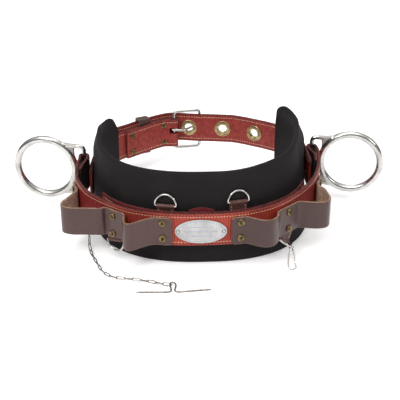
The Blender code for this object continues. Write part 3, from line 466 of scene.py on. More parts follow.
def standing(line, low, high, lean=None, corners=0):
    # places for a band that stands on edge along a line seen from above
    run = lengthsAlong(line)
    places = []
    for i, (point, out) in enumerate(zip(line, levelNormals(line))):
        tilt = lean[i] if lean else 0
        drop = cornerDrop(min(run[i], run[-1] - run[i]), corners) if corners else 0
        bottom = low[i] if isinstance(low, list) else low
        top = high[i] if isinstance(high, list) else high
        places.append((raised(point), out, upright - out * tilt, bottom + drop, top - drop))
    return places


def cornerDrop(distance, radius):
    if distance >= radius:
        return 0
    inside = radius - distance
    return radius - sqrt(max(0, radius * radius - inside * inside * 0.985))


def wire(name, points, radius, sides=14, closed=False, home=loopMiddle, tips=0):
    points = [Vector(p) for p in points]
    count = len(points)
    runs = []
    for i in range(count):
        if closed:
            runs.append((points[(i + 1) % count] - points[i - 1]).normalized())
        else:
            runs.append((points[min(count - 1, i + 1)] - points[max(0, i - 1)]).normalized())
    reach = lengthsAlong(points)
    side = runs[0].orthogonal().normalized()
    sections = []
    for i, (point, run) in enumerate(zip(points, runs)):
        side = (side - run * side.dot(run)).normalized()
        other = run.cross(side)
        size = radius
        if tips and not closed:
            near = min(reach[i], reach[-1] - reach[i])
            size = radius * (0.35 + 0.65 * sqrt(min(1, near / tips + 0.02)))
        sections.append([point + (side * c + other * s) * size for c, s in circle(sides)])
    return skin(name, sections, None, closed, home)


def lathe(name, profile, sides=28):
    # a turned shape about +Z at the origin, in mm
    sections = [[Vector((*spot, height)) for spot in circle(sides, radius)] for radius, height in profile]
    return skin(name, sections, None, True, Vector())


# node trees that repeat a shape

def newTree(name, **inputs):
    tree = bpy.data.node_groups.new(name, "GeometryNodeTree")
    for label, kind in {"Geometry": "Geometry", **inputs}.items():
        tree.interface.new_socket(label, in_out="INPUT", socket_type="NodeSocket" + kind)
    tree.interface.new_socket("Geometry", in_out="OUTPUT", socket_type="NodeSocketGeometry")
    start = tree.nodes.new("NodeGroupInput")
    end = tree.nodes.new("NodeGroupOutput")

    def add(kind, settings=None, **values):
        made = tree.nodes.new(kind)
        for key, value in (settings or {}).items():
            setattr(made, key, value)
        for key, value in values.items():
            socket = made.inputs[key.replace("_", " ")]
            if isinstance(value, bpy.types.NodeSocket):
                tree.links.new(value, socket)
            else:
                socket.default_value = value
        return made

    return tree, start, end, add


def stitchTree():
    tree, start, end, add = newTree("stitches", Spacing="Float", Length="Float", Thickness="Float",
                                    Seed="Int", Thread="Material")
    curve = add("GeometryNodeMeshToCurve", Mesh=start.outputs["Geometry"])
    spaced = add("GeometryNodeResampleCurve", {"mode": "LENGTH"}, Curve=curve.outputs["Curve"],
                 Length=start.outputs["Spacing"])
    bead = add("GeometryNodeMeshUVSphere", Segments=6, Rings=5, Radius=0.5)
    size = add("ShaderNodeCombineXYZ", X=start.outputs["Thickness"], Y=start.outputs["Thickness"],
               Z=start.outputs["Length"])
    run = add("GeometryNodeInputTangent")
    turn = add("FunctionNodeAlignRotationToVector", {"axis": "Z"}, Vector=run.outputs["Tangent"])
    vary = add("FunctionNodeRandomValue", {"data_type": "FLOAT_VECTOR"}, Seed=start.outputs["Seed"])
    vary.inputs[0].default_value = (0.9, 0.9, 0.86)
    vary.inputs[1].default_value = (1.1, 1.1, 1.06)
    varied = add("ShaderNodeVectorMath", {"operation": "MULTIPLY"})
    tree.links.new(size.outputs["Vector"], varied.inputs[0])
    tree.links.new(vary.outputs[0], varied.inputs[1])
    laid = add("GeometryNodeInstanceOnPoints", Points=spaced.outputs["Curve"], Instance=bead.outputs["Mesh"],
               Rotation=turn.outputs["Rotation"], Scale=varied.outputs["Vector"])
    real = add("GeometryNodeRealizeInstances", Geometry=laid.outputs["Instances"])
    dressed = add("GeometryNodeSetMaterial", Geometry=real.outputs["Geometry"],
                  Material=start.outputs["Thread"])
    tree.links.new(dressed.outputs["Geometry"], end.inputs["Geometry"])
    return tree


def copyTree():
    tree, start, end, add = newTree("copies", Shape="Object", Finish="Material")
    shape = add("GeometryNodeObjectInfo", Object=start.outputs["Shape"])
    angle = add("GeometryNodeInputNamedAttribute", {"data_type": "FLOAT_VECTOR"}, Name="turn")
    turn = add("FunctionNodeEulerToRotation", Euler=angle.outputs["Attribute"])
    points = add("GeometryNodeMeshToPoints", Mesh=start.outputs["Geometry"])
    laid = add("GeometryNodeInstanceOnPoints", Points=points.outputs["Points"],
               Instance=shape.outputs["Geometry"], Rotation=turn.outputs["Rotation"])
    real = add("GeometryNodeRealizeInstances", Geometry=laid.outputs["Instances"])
    dressed = add("GeometryNodeSetMaterial", Geometry=real.outputs["Geometry"],
                  Material=start.outputs["Finish"])
    tree.links.new(dressed.outputs["Geometry"], end.inputs["Geometry"])
    return tree


def settled(holder):
    # the plain mesh that the modifiers make
    graph = bpy.context.evaluated_depsgraph_get()
    return bpy.data.meshes.new_from_object(holder.evaluated_get(graph))


def grown(name, mesh, tree, values):
    holder = placed(name, mesh)
    modifier = holder.modifiers.new(name, "NODES")
    modifier.node_group = tree
    for item in tree.interface.items_tree:
        if item.in_out == "INPUT" and item.name in values:
            modifier[item.identifier] = values[item.name]
    made = settled(holder)
    bpy.data.objects.remove(holder, do_unlink=True)
    return made


trees = {"stitch": stitchTree(), "copy": copyTree()}
threads = {
    "tan": {"Spacing": 3.8 * mm, "Length": 3 * mm, "Thickness": 1.05 * mm, "Seed": 4,
            "Thread": finishes["tanThread"]},
    "dark": {"Spacing": 4.4 * mm, "Length": 2.6 * mm, "Thickness": 1.3 * mm, "Seed": 9,
             "Thread": finishes["darkThread"]},
}


def stitched(name, rows, thread):
    # a row of stitches for each row of points in mm
    mesh = bpy.data.meshes.new(name)
    points = []
    edges = []
    for row in rows:
        first = len(points)
        points += [(p + loopMiddle) * mm for p in row]
        edges += [(i, i + 1) for i in range(first, len(points) - 1)]
    mesh.from_pydata(points, edges, [])
    made = grown(name, mesh, trees["stitch"], threads[thread])
    finished(name, made, thread + "Thread")


def copied(name, shape, places, finish, nodes=(), dull=None):
    # the shape at each place: a point in mm, the way its Z points, and the way its X points
    points = bpy.data.meshes.new(name)
    points.from_pydata([(Vector(p) + loopMiddle) * mm for p, _, _ in places], [], [])
    turn = points.attributes.new("turn", "FLOAT_VECTOR", "POINT")
    for i, (_, z, x) in enumerate(places):
        z = Vector(z).normalized()
        x = Vector(x) if x else z.orthogonal()
        x = (x - z * x.dot(z)).normalized()
        turn.data[i].vector = Matrix((x, z.cross(x), z)).transposed().to_euler()
    if dull:
        mark = shape.attributes.new("dull", "FLOAT", "POINT")
        for vertex in shape.vertices:
            mark.data[vertex.index].value = dull(vertex.co / mm)
    model = placed(name + "Shape", shape)
    made = grown(name, points, trees["copy"], {"Shape": model, "Finish": finishes[finish]})
    bpy.data.objects.remove(model, do_unlink=True)
    finished(name, made, finish, nodes=nodes, sharp=60)


def cutAway(piece, cutters):
    # a new corner lies on an old face and takes its side mark from it
    before = piece.data
    sides = [item.value for item in before.attributes["side"].data]
    corners = KDTree(len(before.vertices))
    for vertex in before.vertices:
        corners.insert(vertex.co, vertex.index)
    corners.balance()
    faces = [tuple(f.vertices) for f in before.polygons]
    tree = BVHTree.FromPolygons([v.co for v in before.vertices], faces)
    for cutter in cutters:
        modifier = piece.modifiers.new("cut", "BOOLEAN")
        modifier.operation = "DIFFERENCE"
        modifier.object = cutter
    mesh = settled(piece)
    piece.modifiers.clear()
    piece.data = mesh
    for cutter in cutters:
        bpy.data.objects.remove(cutter, do_unlink=True)
    for item, vertex in zip(mesh.attributes["side"].data, mesh.vertices):
        _, corner, distance = corners.find(vertex.co)
        if distance < 1e-6:
            item.value = sides[corner]
        else:
            face = faces[tree.find_nearest(vertex.co)[2]]
            item.value = min((sides[k] for k in face), key=lambda v: 1 - abs(v))
    mesh.set_sharp_from_angle(angle=radians(50))


# the waist loop and the pad

loopShape = {"halfWidth": 149, "backDepth": 156.5, "frontDepth": 160, "backSquare": 2.45,
             "frontSquare": 2.4, "samples": 1440}


def makeLoop():
    line = []
    for i in range(loopShape["samples"] + 1):
        angle = pi / 2 + tau * i / loopShape["samples"]
        c, s = cos(angle), sin(angle)
        back = s < 0
        power = 2 / (loopShape["backSquare"] if back else loopShape["frontSquare"])
        depth = loopShape["backDepth"] if back else loopShape["frontDepth"]
        line.append(Vector((copysign(abs(c) ** power, c) * loopShape["halfWidth"],
                            copysign(abs(s) ** power, s) * depth, 0)))
    return line


waistLoop = makeLoop()


def loopPart(start, end, step, ends=()):
    first, last = (min(range(len(waistLoop)), key=lambda i: (waistLoop[i].xy - Vector(place)).length)
                   for place in (start, end))
    chosen = waistLoop[first:-1] + waistLoop[:last + 1] if last <= first else waistLoop[first:last + 1]
    return evenly(chosen, step, ends)


padShape = {
    "height": 121.5, "thickness": 7, "endRadius": 40, "footRadius": 22, "corner": 3,
    "leftEarDrop": 13.5, "rightEarDrop": -2.5, "leftEnd": (-120.5, 108.5), "rightEnd": (121, 108),
    "leanLeft": 0.07, "leanRight": 0.16, "step": 4, "rows": 24, "rollDepth": 0.9, "foldDepth": 1.3,
    "leftCurl": 7, "leftCurlFrom": 88, "rightCurl": 8.5, "rightCurlFrom": 94, "curlTo": 120,
}


def padLean(point):
    lean = padShape["leanLeft"] + (padShape["leanRight"] - padShape["leanLeft"]) * eased(point.x, 20, 110)
    return lean * (1 - eased(point.y, -60, 40))


def makePad():
    ends = (0.25, 0.7, 1.3, 2.2, 3.4, 5, 7, 9.5, 12.5, 16, 20, 24, 29, 34)
    line = loopPart(padShape["leftEnd"], padShape["rightEnd"], padShape["step"], ends)
    run = lengthsAlong(line)
    places = []
    for i, (point, out) in enumerate(zip(line, levelNormals(line))):
        edge = min(run[i], run[-1] - run[i])
        drop = padShape["rightEarDrop"] if point.x > 0 else padShape["leftEarDrop"]
        top = padShape["height"] - drop * eased(point.y, 0, 80) - cornerDrop(edge, padShape["endRadius"])
        places.append((point - out * padShape["thickness"] / 2, out, upright - out * padLean(point),
                       cornerDrop(edge, padShape["footRadius"]), top))
    mesh = band("backPad", places, padShape["thickness"], padShape["corner"], 0, padShape["rows"])
    # soft low folds near the foot and a gentle roll over the rest
    moves = []
    for vertex in mesh.vertices:
        z = vertex.co.z / mm
        soft = noise.noise(Vector((vertex.co.x * 22, vertex.co.y * 22, vertex.co.z * 13)))
        fold = noise.noise(Vector((vertex.co.x * 34 + 7, vertex.co.y * 34, vertex.co.z * 60)))
        low = 1 - eased(z, 14, 34)
        high = eased(z, 84, 108)
        clear = eased(z, 0.6, 4) * eased(padShape["height"] - z, 0.3, 4)
        moves.append((soft * padShape["rollDepth"] * (0.45 + 0.55 * max(low, high))
                      + fold * padShape["foldDepth"] * low) * clear)
    for vertex, move in zip(mesh.vertices, moves):
        vertex.co += vertex.normal * move * mm
    # the free tops of both ears curl inwards
    for vertex in mesh.vertices:
        place = vertex.co / mm - loopMiddle
        side = "right" if place.x > 0 else "left"
        curl = padShape[side + "Curl"] * eased(place.z, padShape[side + "CurlFrom"], padShape["curlTo"])
        inward = Vector((-place.x / 149, -place.y / 300, 0)).normalized()
        vertex.co += inward * curl * eased(place.y, -50, 25) * mm
    piece = finished("backPad", mesh, "pad", nodes=["pad"])


makePad()
print("pad made")


# the belts that lie on the pad

beltShape = {
    "width": 44.5, "thickness": 4, "innerThickness": 2.8, "tabPly": 0.95, "tabPlay": 0.45, "step": 3,
    "innerFrom": (-131, -93), "innerTo": (140, -70), "innerLow": 28,
    "rows": ((-166, 2, 58), (-168, -18, 57.5), (-166.5, -50, 56), (-160, -75, 55),
             (-147, -99, 53.5), (-126, -121, 52.3), (-98, -143.5, 51.8), (-69.5, -155.5, 51.8),
             (-38, -161.6, 51.8), (-5, -163.4, 51.8), (30, -162.4, 52.2), (56, -158.2, 53),
             (85, -145.8, 54), (107, -128.2, 55), (131, -100.5, 56), (147, -73, 57),
             (158, -40, 57.5), (165, -5, 58), (167.2, 22, 58)),
    "leftFold": ((-156.6, -2), (-160.6, -17), (-163.1, -34)),
    "rightFold": ((156.4, 20), (160.4, 4), (159.1, -18)),
    "seamIn": 4.9, "dashIn": 2.3, "foldedLength": 52, "outsideTrim": 40, "liningTrim": 71,
}
patchShape = {"from": (-21, -156), "to": (12, -156), "step": 1.6, "low": 52, "top": 73.5, "rise": 3.4}
edgeEnds = (0.2, 0.6, 1.2)
ringShape = {
    "centerZ": 58, "reach": 55.5, "radius": 41.5, "bar": 5, "arm": 3.25, "armGap": 34.5,
    "armEnd": 33.5, "armSpread": 36.2, "armBend": 20, "corner": 3.2, "webEdge": 13.9, "web": 4, "webWide": 37,
    "webInset": 0.8, "webFrom": 118, "turn": 12, "heelLeft": (-160.8, 12), "heelRight": (160.5, 33),
    "voxel": 0.85, "smooth": 6,
}


def bandStitches(name, places, thickness, sides=(1, -1), trim=5):
    # a tan seam and a row of dark dashes along both edges of each side
    run = lengthsAlong([p[0] for p in places])
    kept = [p for p, r in zip(places, run) if trim < r < run[-1] - trim]
    for thread, inward, sink in (("tan", beltShape["seamIn"], 0.12), ("dark", beltShape["dashIn"], 0.18)):
        rows = []
        for side in sides:
            for top in (True, False):
                rows.append([p + out * side * (thickness / 2 - sink)
                             + up * ((high - inward) if top else (low + inward))
                             for p, out, up, low, high in kept])
        stitched(f"{name}{thread.title()}Stitches", rows, thread)


def makeInnerBelt():
    ply = beltShape["tabPly"]
    line = loopPart(beltShape["innerFrom"], beltShape["innerTo"], beltShape["step"], edgeEnds)
    line = shifted(line, gap * 2 + ply * 2 + beltShape["tabPlay"] * 2 + beltShape["innerThickness"] / 2)
    low = beltShape["innerLow"]
    places = standing(line, low, low + beltShape["width"], [padLean(p) for p in line])
    mesh = band("innerBelt", places, beltShape["innerThickness"], 1)
    finished("innerBelt", mesh, "innerRed", nodes=["inner_belt"])
    bandStitches("innerBelt", places, beltShape["innerThickness"], (1,))
    line = loopPart(patchShape["from"], patchShape["to"], patchShape["step"], edgeEnds)
    line = shifted(line, gap + ply)
    run = lengthsAlong(line)
    tops = [patchShape["top"] + patchShape["rise"] * sin(pi * r / run[-1]) for r in run]
    places = standing(line, patchShape["low"], tops, [padLean(p) for p in line])
    mesh = band("archPatch", places, ply * 2, 0.6, 0)
    finished("archPatch", mesh, "innerRed", nodes=["arch_patch"])


def foldLine(heel, side, innerEnd):
    radius = ringShape["arm"] + gap + beltShape["thickness"] / 2
    z = ringShape["centerZ"]
    turn = [Vector((heel[0] + side * radius * cos(pi * i / 18),
                    heel[1] + radius * sin(pi * i / 18), z)) for i in range(19)]
    ply = smoothLine([turn[-1]] + [raised(p, z) for p in innerEnd], beltShape["step"])
    return turn[:-1] + ply


def makeOuterBelt():
    middle = smoothLine(beltShape["rows"], beltShape["step"])
    left = foldLine(ringShape["heelLeft"], -1, beltShape["leftFold"])
    right = foldLine(ringShape["heelRight"], 1, beltShape["rightFold"])
    line = evenly(list(reversed(left)) + middle + right, beltShape["step"] * 0.8, edgeEnds)
    half = beltShape["width"] / 2
    places = standing(line, [p.z - half for p in line], [p.z + half for p in line])
    run = lengthsAlong(line)
    lined = {i for i, r in enumerate(run) if min(r, run[-1] - r) < beltShape["foldedLength"]}
    mesh = band("outerBelt", places, beltShape["thickness"], 1.2, lined=lined)
    finished("outerBelt", mesh, "beltRed", nodes=["outer_belt"])
    bandStitches("outerBelt", places, beltShape["thickness"], (1,), beltShape["outsideTrim"])
    bandStitches("outerBeltLining", places, beltShape["thickness"], (-1,), beltShape["liningTrim"])
    return middle


makeInnerBelt()
beltLine = makeOuterBelt()
beltNormals = levelNormals(beltLine)
print("belts made")


def onBelt(x=None, side=None, y=None, out=0):
    # a place on the outside of the outer belt, and the outward direction there
    best = None
    for i, (a, b) in enumerate(zip(beltLine, beltLine[1:])):
        if x is not None:
            low, high, want = a.x, b.x, x
        elif a.x * side < 0 or b.x * side < 0:
            continue
        else:
            low, high, want = a.y, b.y, y
        if (low - want) * (high - want) <= 0 and low != high:
            best = (i, (want - low) / (high - low))
            if x is None or a.y < -40:
                break
    i, t = best
    normal = beltNormals[i].lerp(beltNormals[i + 1], t).normalized()
    return beltLine[i].lerp(beltLine[i + 1], t) + normal * (beltShape["thickness"] / 2 + out), normal


plateShape = {"center": -5.9, "halfWide": 32.3, "halfHigh": 16.4, "thick": 1, "z": 50, "rivetAt": 28.6,
              "rivet": ((0.05, -0.2), (2, -0.2), (2.05, 0.35), (1.75, 0.85), (1.1, 1.15), (0.05, 1.25))}


def makeNameplate():
    places = []
    count = 48
    for i in range(count + 1):
        angle = pi * (0.02 + 0.96 * i / count)
        x = plateShape["center"] - plateShape["halfWide"] * cos(angle)
        point, out = onBelt(x=x, out=gap + plateShape["thick"] / 2)
        tall = plateShape["halfHigh"] * sin(angle)
        places.append((raised(point, plateShape["z"]), out, upright, -tall, tall))
    run = lengthsAlong([p[0] for p in places])
    mesh = band("namePlate", places, plateShape["thick"], 0.42, 0, 5)
    for item in mesh.uv_layers[0].data:
        item.uv[0] -= run[-1] / 2 * mm
    finished("namePlate", mesh, "plate", nodes=["nameplate"])
    seats = []
    for x in (-plateShape["rivetAt"], plateShape["rivetAt"]):
        point, out = onBelt(x=plateShape["center"] + x, out=gap + plateShape["thick"])
        seats.append((raised(point, plateShape["z"]), out, None))
    dome = lathe("plateRivet", plateShape["rivet"])
    copied("plateRivets", dome, seats, "steel", ["plate_rivet_left", "plate_rivet_right"])


makeNameplate()


# tool straps and their rivets

toolShape = {"width": 38, "thickness": 3, "z": 50, "beltGap": 0.8, "step": 2.4, "lift": 3.5, "round": 5,
             "ends": (0.2, 0.6, 1.2, 2.2, 3.6, 5.4)}
# inner and middle: x on the belt; outer: y on the belt's side; rivets: x or y on the belt, and heights
leftStrap = {
    "name": "toolStrapLeft", "node": "tool_strap_left", "look": "toolBrown", "side": -1,
    "inner": (-41, -47, -53, -59), "middle": (-106, -112, -121), "outer": (-78, -71, -64, -56, -48),
    "small": ((-70, -163.5), (-81, -169.5), (-92, -176.5), (-98.5, -176.5), (-101.8, -168),
              (-101.8, -158), (-102.4, -149.5)),
    "large": ((-132, -133), (-152, -131.5), (-170, -130), (-180, -124), (-181, -113),
              (-175.5, -101), (-170, -89)),
    "rivets": ((-53, None, (62, 41)), (-111.5, None, (60.5, 36)), (None, -58, (61, 39))),
}
rightStrap = {
    "name": "toolStrapRight", "node": "tool_strap_right", "look": "darkBrown", "side": 1,
    "inner": (31.5, 37, 43, 50), "middle": (97.5, 103, 110), "outer": (-74, -66, -58, -50, -42),
    "small": ((60, -169), (71, -174.5), (82, -173.5), (90, -163), (92, -152)),
    "large": ((122.5, -124), (135, -126.5), (147.5, -128), (157.5, -125), (162.5, -115.5),
              (161.5, -101), (159.5, -87)),
    "rivets": ((43, None, (62, 40.5)), (102, None, (61.5, 37.5)), (None, -51, (61, 39))),
}
rivetShape = {
    "head": ((0.05, 0.55), (1, 0.6), (1.7, 0.85), (2.4, 1.45), (3.1, 1.85), (3.8, 1.9), (4.5, 1.5),
             (4.85, 0.9), (4.9, 0.35), (4.7, -0.25), (0.05, -0.25)),
    "small": 0.875, "hollow": 2.6,
}


# Painted shade: the hollow centre of each rivet head is darkened, and a dark outline is painted round its rim
# where the head meets the strap.
def rivetPaintedShade(co):
    flat = hypot(co.x, co.y)
    return (1 - eased(flat, 1.6, rivetShape["hollow"])) * 0.75 + eased(flat, 4.3, 4.8) * 0.35


def makeToolStraps():
    onTab = gap * 3 + beltShape["tabPly"] * 2 + 0.1
    bare = toolShape["beltGap"]
    middle = toolShape["thickness"] / 2
    half = toolShape["width"] / 2
    seats = []
    for strap in (leftStrap, rightStrap):
        side = strap["side"]
        points = [onBelt(x=x, out=bare + middle)[0] for x in strap["inner"]] + [*strap["small"]]
        points += [onBelt(x=x, out=onTab + middle)[0] for x in strap["middle"]] + [*strap["large"]]
        for y, lift in zip(strap["outer"], (toolShape["lift"], 0, 0, 0, 0)):
            points.append(onBelt(side=side, y=y, out=bare + middle + lift)[0])
        flat = [raised(p) for p in points][::side]
        line = smoothLine(flat, toolShape["step"], toolShape["ends"])
        places = standing(line, toolShape["z"] - half, toolShape["z"] + half, None, toolShape["round"])
        mesh = band(strap["name"], places, toolShape["thickness"], 1.1, 0, 5)
        finished(strap["name"], mesh, strap["look"], nodes=[strap["node"]])
        for (x, y, heights), under in zip(strap["rivets"], (bare, onTab, bare)):
            point, normal = onBelt(x, side, y, under + toolShape["thickness"])
            seats += [(raised(point, z), normal, None) for z in heights]
    nodes = [f"tool_rivet_{side}_{place}_{end}" for side in ("left", "right")
             for place in ("inner", "middle", "outer") for end in ("top", "bottom")]
    head = lathe("rivetHead", rivetShape["head"])
    copied("toolRivets", head, seats, "antique", nodes, rivetPaintedShade)


makeToolStraps()
print("tool straps made")


# small rings on tabs, and the snap

tabShape = {"width": 23, "ply": 0.95, "bend": 5.3, "aboveRivet": 6, "sewnZ": 66,
            "wire": 1.2, "halfWide": 13.7, "depth": 15.2}
snapShape = {
    "wire": 0.9, "reach": 29.5, "eye": 2.7,
    "hook": ((3.4, 33), (4.6, 36.5), (4.3, 41), (1.6, 44.6), (-1.8, 44.4), (-4.4, 40.5),
             (-4.5, 30), (-3.6, 17), (-1.9, 8)),
    "gate": ((1.9, 8), (3.4, 18), (3.3, 30.6)),
}


def tabAndRing(name, node, center, along, up, out, reach, tilt=0, setBack=0):
    radius = tabShape["wire"] + gap + tabShape["ply"] / 2
    ply = tabShape["ply"] / 2 + 0.05
    begin = asin(ply / radius)
    profile = [(ply - setBack, reach), (ply - setBack, tabShape["bend"] + 4),
               (ply - setBack, tabShape["bend"]), (ply, radius * 1.5)]
    for i in range(19):
        angle = pi / 2 - begin - (tau - 2 * begin) * i / 18
        profile.append((radius * cos(angle), radius * sin(angle)))
    profile += [(-ply, radius * 1.5), (-ply - setBack, tabShape["bend"]),
                (-ply - setBack, tabShape["bend"] + 4), (-ply - setBack, reach)]
    line = evenly([Vector((a, b, 0)) for a, b in profile], 0.8, (0.2, 0.45))
    wide = tabShape["width"] / 2
    places = [(center + out * p.x + up * p.y, out * n.x + up * n.y, along, -wide, wide)
              for p, n in zip(line, levelNormals(line))]
    mesh = band(name + "Tab", places, tabShape["ply"], 0.4, 0, 4)
    finished(name + "Tab", mesh, "tabBrown", nodes=[node + "_tab"])
    rows = [[center + along * way * (wide - 2.6) + out * (ply + tabShape["ply"] / 2 - setBack) + up * h
             for h in (tabShape["bend"] + 0.5, reach - 1.5)] for way in (-1, 1)]
    stitched(name + "TabStitches", rows, "tan")
    away = (-up * cos(tilt) + out * sin(tilt)).normalized()
    wires = [center + along * tabShape["halfWide"] * t for t in (-0.86, -0.6, -0.3, 0, 0.3, 0.6, 0.86)]
    for i in range(25):
        angle = pi * i / 24
        wires.append(center + along * (tabShape["halfWide"] * cos(angle))
                     + away * tabShape["depth"] * sin(angle))
    mesh = wire(name + "Ring", wires, tabShape["wire"], 12, closed=True)
    finished(name + "Ring", mesh, "steel", nodes=[node + "_ring"])
    return away


def makeTopRings():
    for name, node, x, barZ in (("topLeft", "top_left", -52.5, 78.3), ("topRight", "top_right", 41.5, 82.3)):
        half = tabShape["width"] / 2
        line = loopPart((x - half, -156), (x + half, -156), 2)
        sewn = [p - n * padLean(p) * tabShape["sewnZ"] for p, n in zip(line, levelNormals(line))]
        along = (sewn[-1] - sewn[0]).normalized()
        out = Vector((along.y, -along.x, 0))
        middle = len(line) // 2
        lean = padLean(line[middle])
        up = (out * lean - upright).normalized()
        bulge = tabShape["wire"] + gap + 0.05
        off = gap + tabShape["ply"] + 0.1 + bulge - lean * (barZ - tabShape["sewnZ"])
        center = sewn[middle] + out * off
        center.z = barZ
        tabAndRing(name, node, center, along, up, out, barZ - 56, 0, bulge)


def makeBottomRings():
    for name, node, x, z, hang, slant, tilt in (
            ("bottomLeft", "bottom_left", -113.5, 36, 11, -12, 3),
            ("bottomRight", "bottom_right", 106, 38, 20, 30, 76)):
        point, out = onBelt(x=x, out=gap + tabShape["ply"] + 0.05)
        level = Vector((-out.y, out.x, 0))
        c, s = cos(radians(slant)), sin(radians(slant))
        along = level * c - upright * s
        up = upright * c + level * s
        center = raised(point, z) - up * hang
        away = tabAndRing(name, node, center, along, up, out, hang + tabShape["aboveRivet"], radians(tilt))
    return center + away * tabShape["depth"], along


def makeSnap(place, along):
    tip = Vector((place.x - 2, place.y - snapShape["reach"], snapShape["wire"] + gap))
    scale = (tip - place).length / snapShape["hook"][3][1]
    down = (tip - place).normalized()
    across = Vector((-down.y, down.x, 0)).normalized()
    coilDown = (down - along * down.dot(along)).normalized()
    coilSide = along.cross(coilDown)
    way = 1 if along.dot(across) > 0 else -1
    points = [place + across * q + down * (p * scale) for q, p in snapShape["hook"]]
    for i in range(13):
        angle = tau * i / 12
        points.append(place + along * way * (-1.3 + 2.6 * i / 12)
                      + (coilDown * cos(angle) + coilSide * sin(angle)) * snapShape["eye"])
    points += [place + across * q + down * (p * scale) for q, p in snapShape["gate"]]
    mesh = wire("snapHook", smoothLine(points, 0.8), snapShape["wire"], 12, tips=0.6)
    finished("snapHook", mesh, "steel", nodes=["snap_hook"])


makeTopRings()
makeSnap(*makeBottomRings())
print("small rings and snap made")


# chain and peg

chainShape = {
    "pitch": 10.3, "wire": 0.6, "halfWide": 1.45, "endHalfWide": 2, "staple": 0.8, "stapleOut": 5,
    "peg": 1, "hookPoint": 6,
    "route": ((-149.5, -107, 20), (-149.5, -112, 9), (-147.5, -123, 2.6), (-142, -141.5, 1.7),
              (-136.5, -157, 1.7), (-130.5, -173.5, 1.7), (-123, -184, 1.7), (-113.8, -190.8, 1.7),
              (-103.5, -193.2, 1.7), (-83.5, -198, 1.7), (-64.5, -205.6, 2.3), (-54.5, -210.8, 2.7)),
    "pegRoute": ((-87, -226.2, 1.05), (-68, -226.8, 1.05), (-50.5, -227.3, 1.05), (-46.2, -226.4, 1.05),
                 (-44.5, -223.2, 1.05), (-45.3, -217.5, 2.1), (-45.9, -213, 2.8), (-44.8, -209.4, 3),
                 (-42.3, -208, 3), (-39.8, -209.4, 2.7), (-38.7, -213, 2), (-39.3, -217.5, 1.3),
                 (-40.1, -223.2, 1.05), (-38.4, -226.6, 1.05), (-34, -227.4, 1.05), (-15, -225.4, 1.05),
                 (4.1, -223.4, 1.05)),
}


def linkMesh(length, halfWide):
    # one oval link in the XZ plane, its length along Z
    points = []
    straight = length / 2 - halfWide
    for way in (1, -1):
        for k in range(7):
            angle = pi * (0.5 - k / 6)
            points.append(Vector((way * halfWide * sin(angle), 0,
                                  way * (straight + halfWide * cos(angle)))))
    return wire("link", points, chainShape["wire"], 6, True, Vector())


def makeChain():
    point, out = onBelt(x=-146.5)
    along = Vector((-out.y, out.x, 0))
    top = raised(point, 34)
    bends = ((-3.2, gap + 0.1), (-3.2, 3.2), (-2.2, 4.6), (0, chainShape["stapleOut"]), (2.2, 4.6),
             (3.2, 3.2), (3.2, gap + 0.1))
    staple = smoothLine([top + along * a + out * b for a, b in bends], 0.6)
    finished("chainStaple", wire("chainStaple", staple, chainShape["staple"], 12), "chainSteel",
             nodes=["chain_staple"])
    peg = wire("stopPeg", smoothLine(chainShape["pegRoute"], 1.4), chainShape["peg"], 12, tips=0.8)
    finished("stopPeg", peg, "chainSteel", nodes=["peg"])
    route = [top + out * chainShape["stapleOut"], *[Vector(p) for p in chainShape["route"]],
             Vector(chainShape["pegRoute"][chainShape["hookPoint"]])]
    line = smoothLine(route, 0.5)
    run = lengthsAlong(line)
    hook = chainShape["wire"] * 0.8
    first = hook - (chainShape["staple"] + chainShape["wire"] + gap)
    last = run[-1] + chainShape["peg"] + chainShape["wire"] + gap - hook
    count = round((last - first) / chainShape["pitch"])
    pitch = (last - first) / count
    usual = []
    ends = []
    for n in range(count):
        start = pointAt(line, run, first + pitch * n)
        end = pointAt(line, run, first + pitch * (n + 1))
        way = (end - start).normalized()
        level = upright.cross(way)
        level = level.normalized() if level.length > 0.3 else out
        onFloor = (level + upright).normalized()
        atPeg = upright if (count - 1) % 2 == 0 else level
        wide = out.lerp(onFloor, min(1, max(0, (n - 1) / 3)))
        wide = wide.lerp(atPeg, min(1, max(0, (n - count + 4) / 3)))
        wide = (wide - way * wide.dot(way)).normalized()
        wide = way.cross(wide) if n % 2 else wide
        (ends if n in (0, count - 1) else usual).append(((start + end) / 2, way, wide))
    length = pitch + 2 * hook
    copied("chainLinks", linkMesh(length, chainShape["halfWide"]), usual, "chainSteel", ["chain"])
    copied("chainEndLinks", linkMesh(length, chainShape["endHalfWide"]), ends, "chainSteel")


makeChain()
print("chain made")


# large side rings

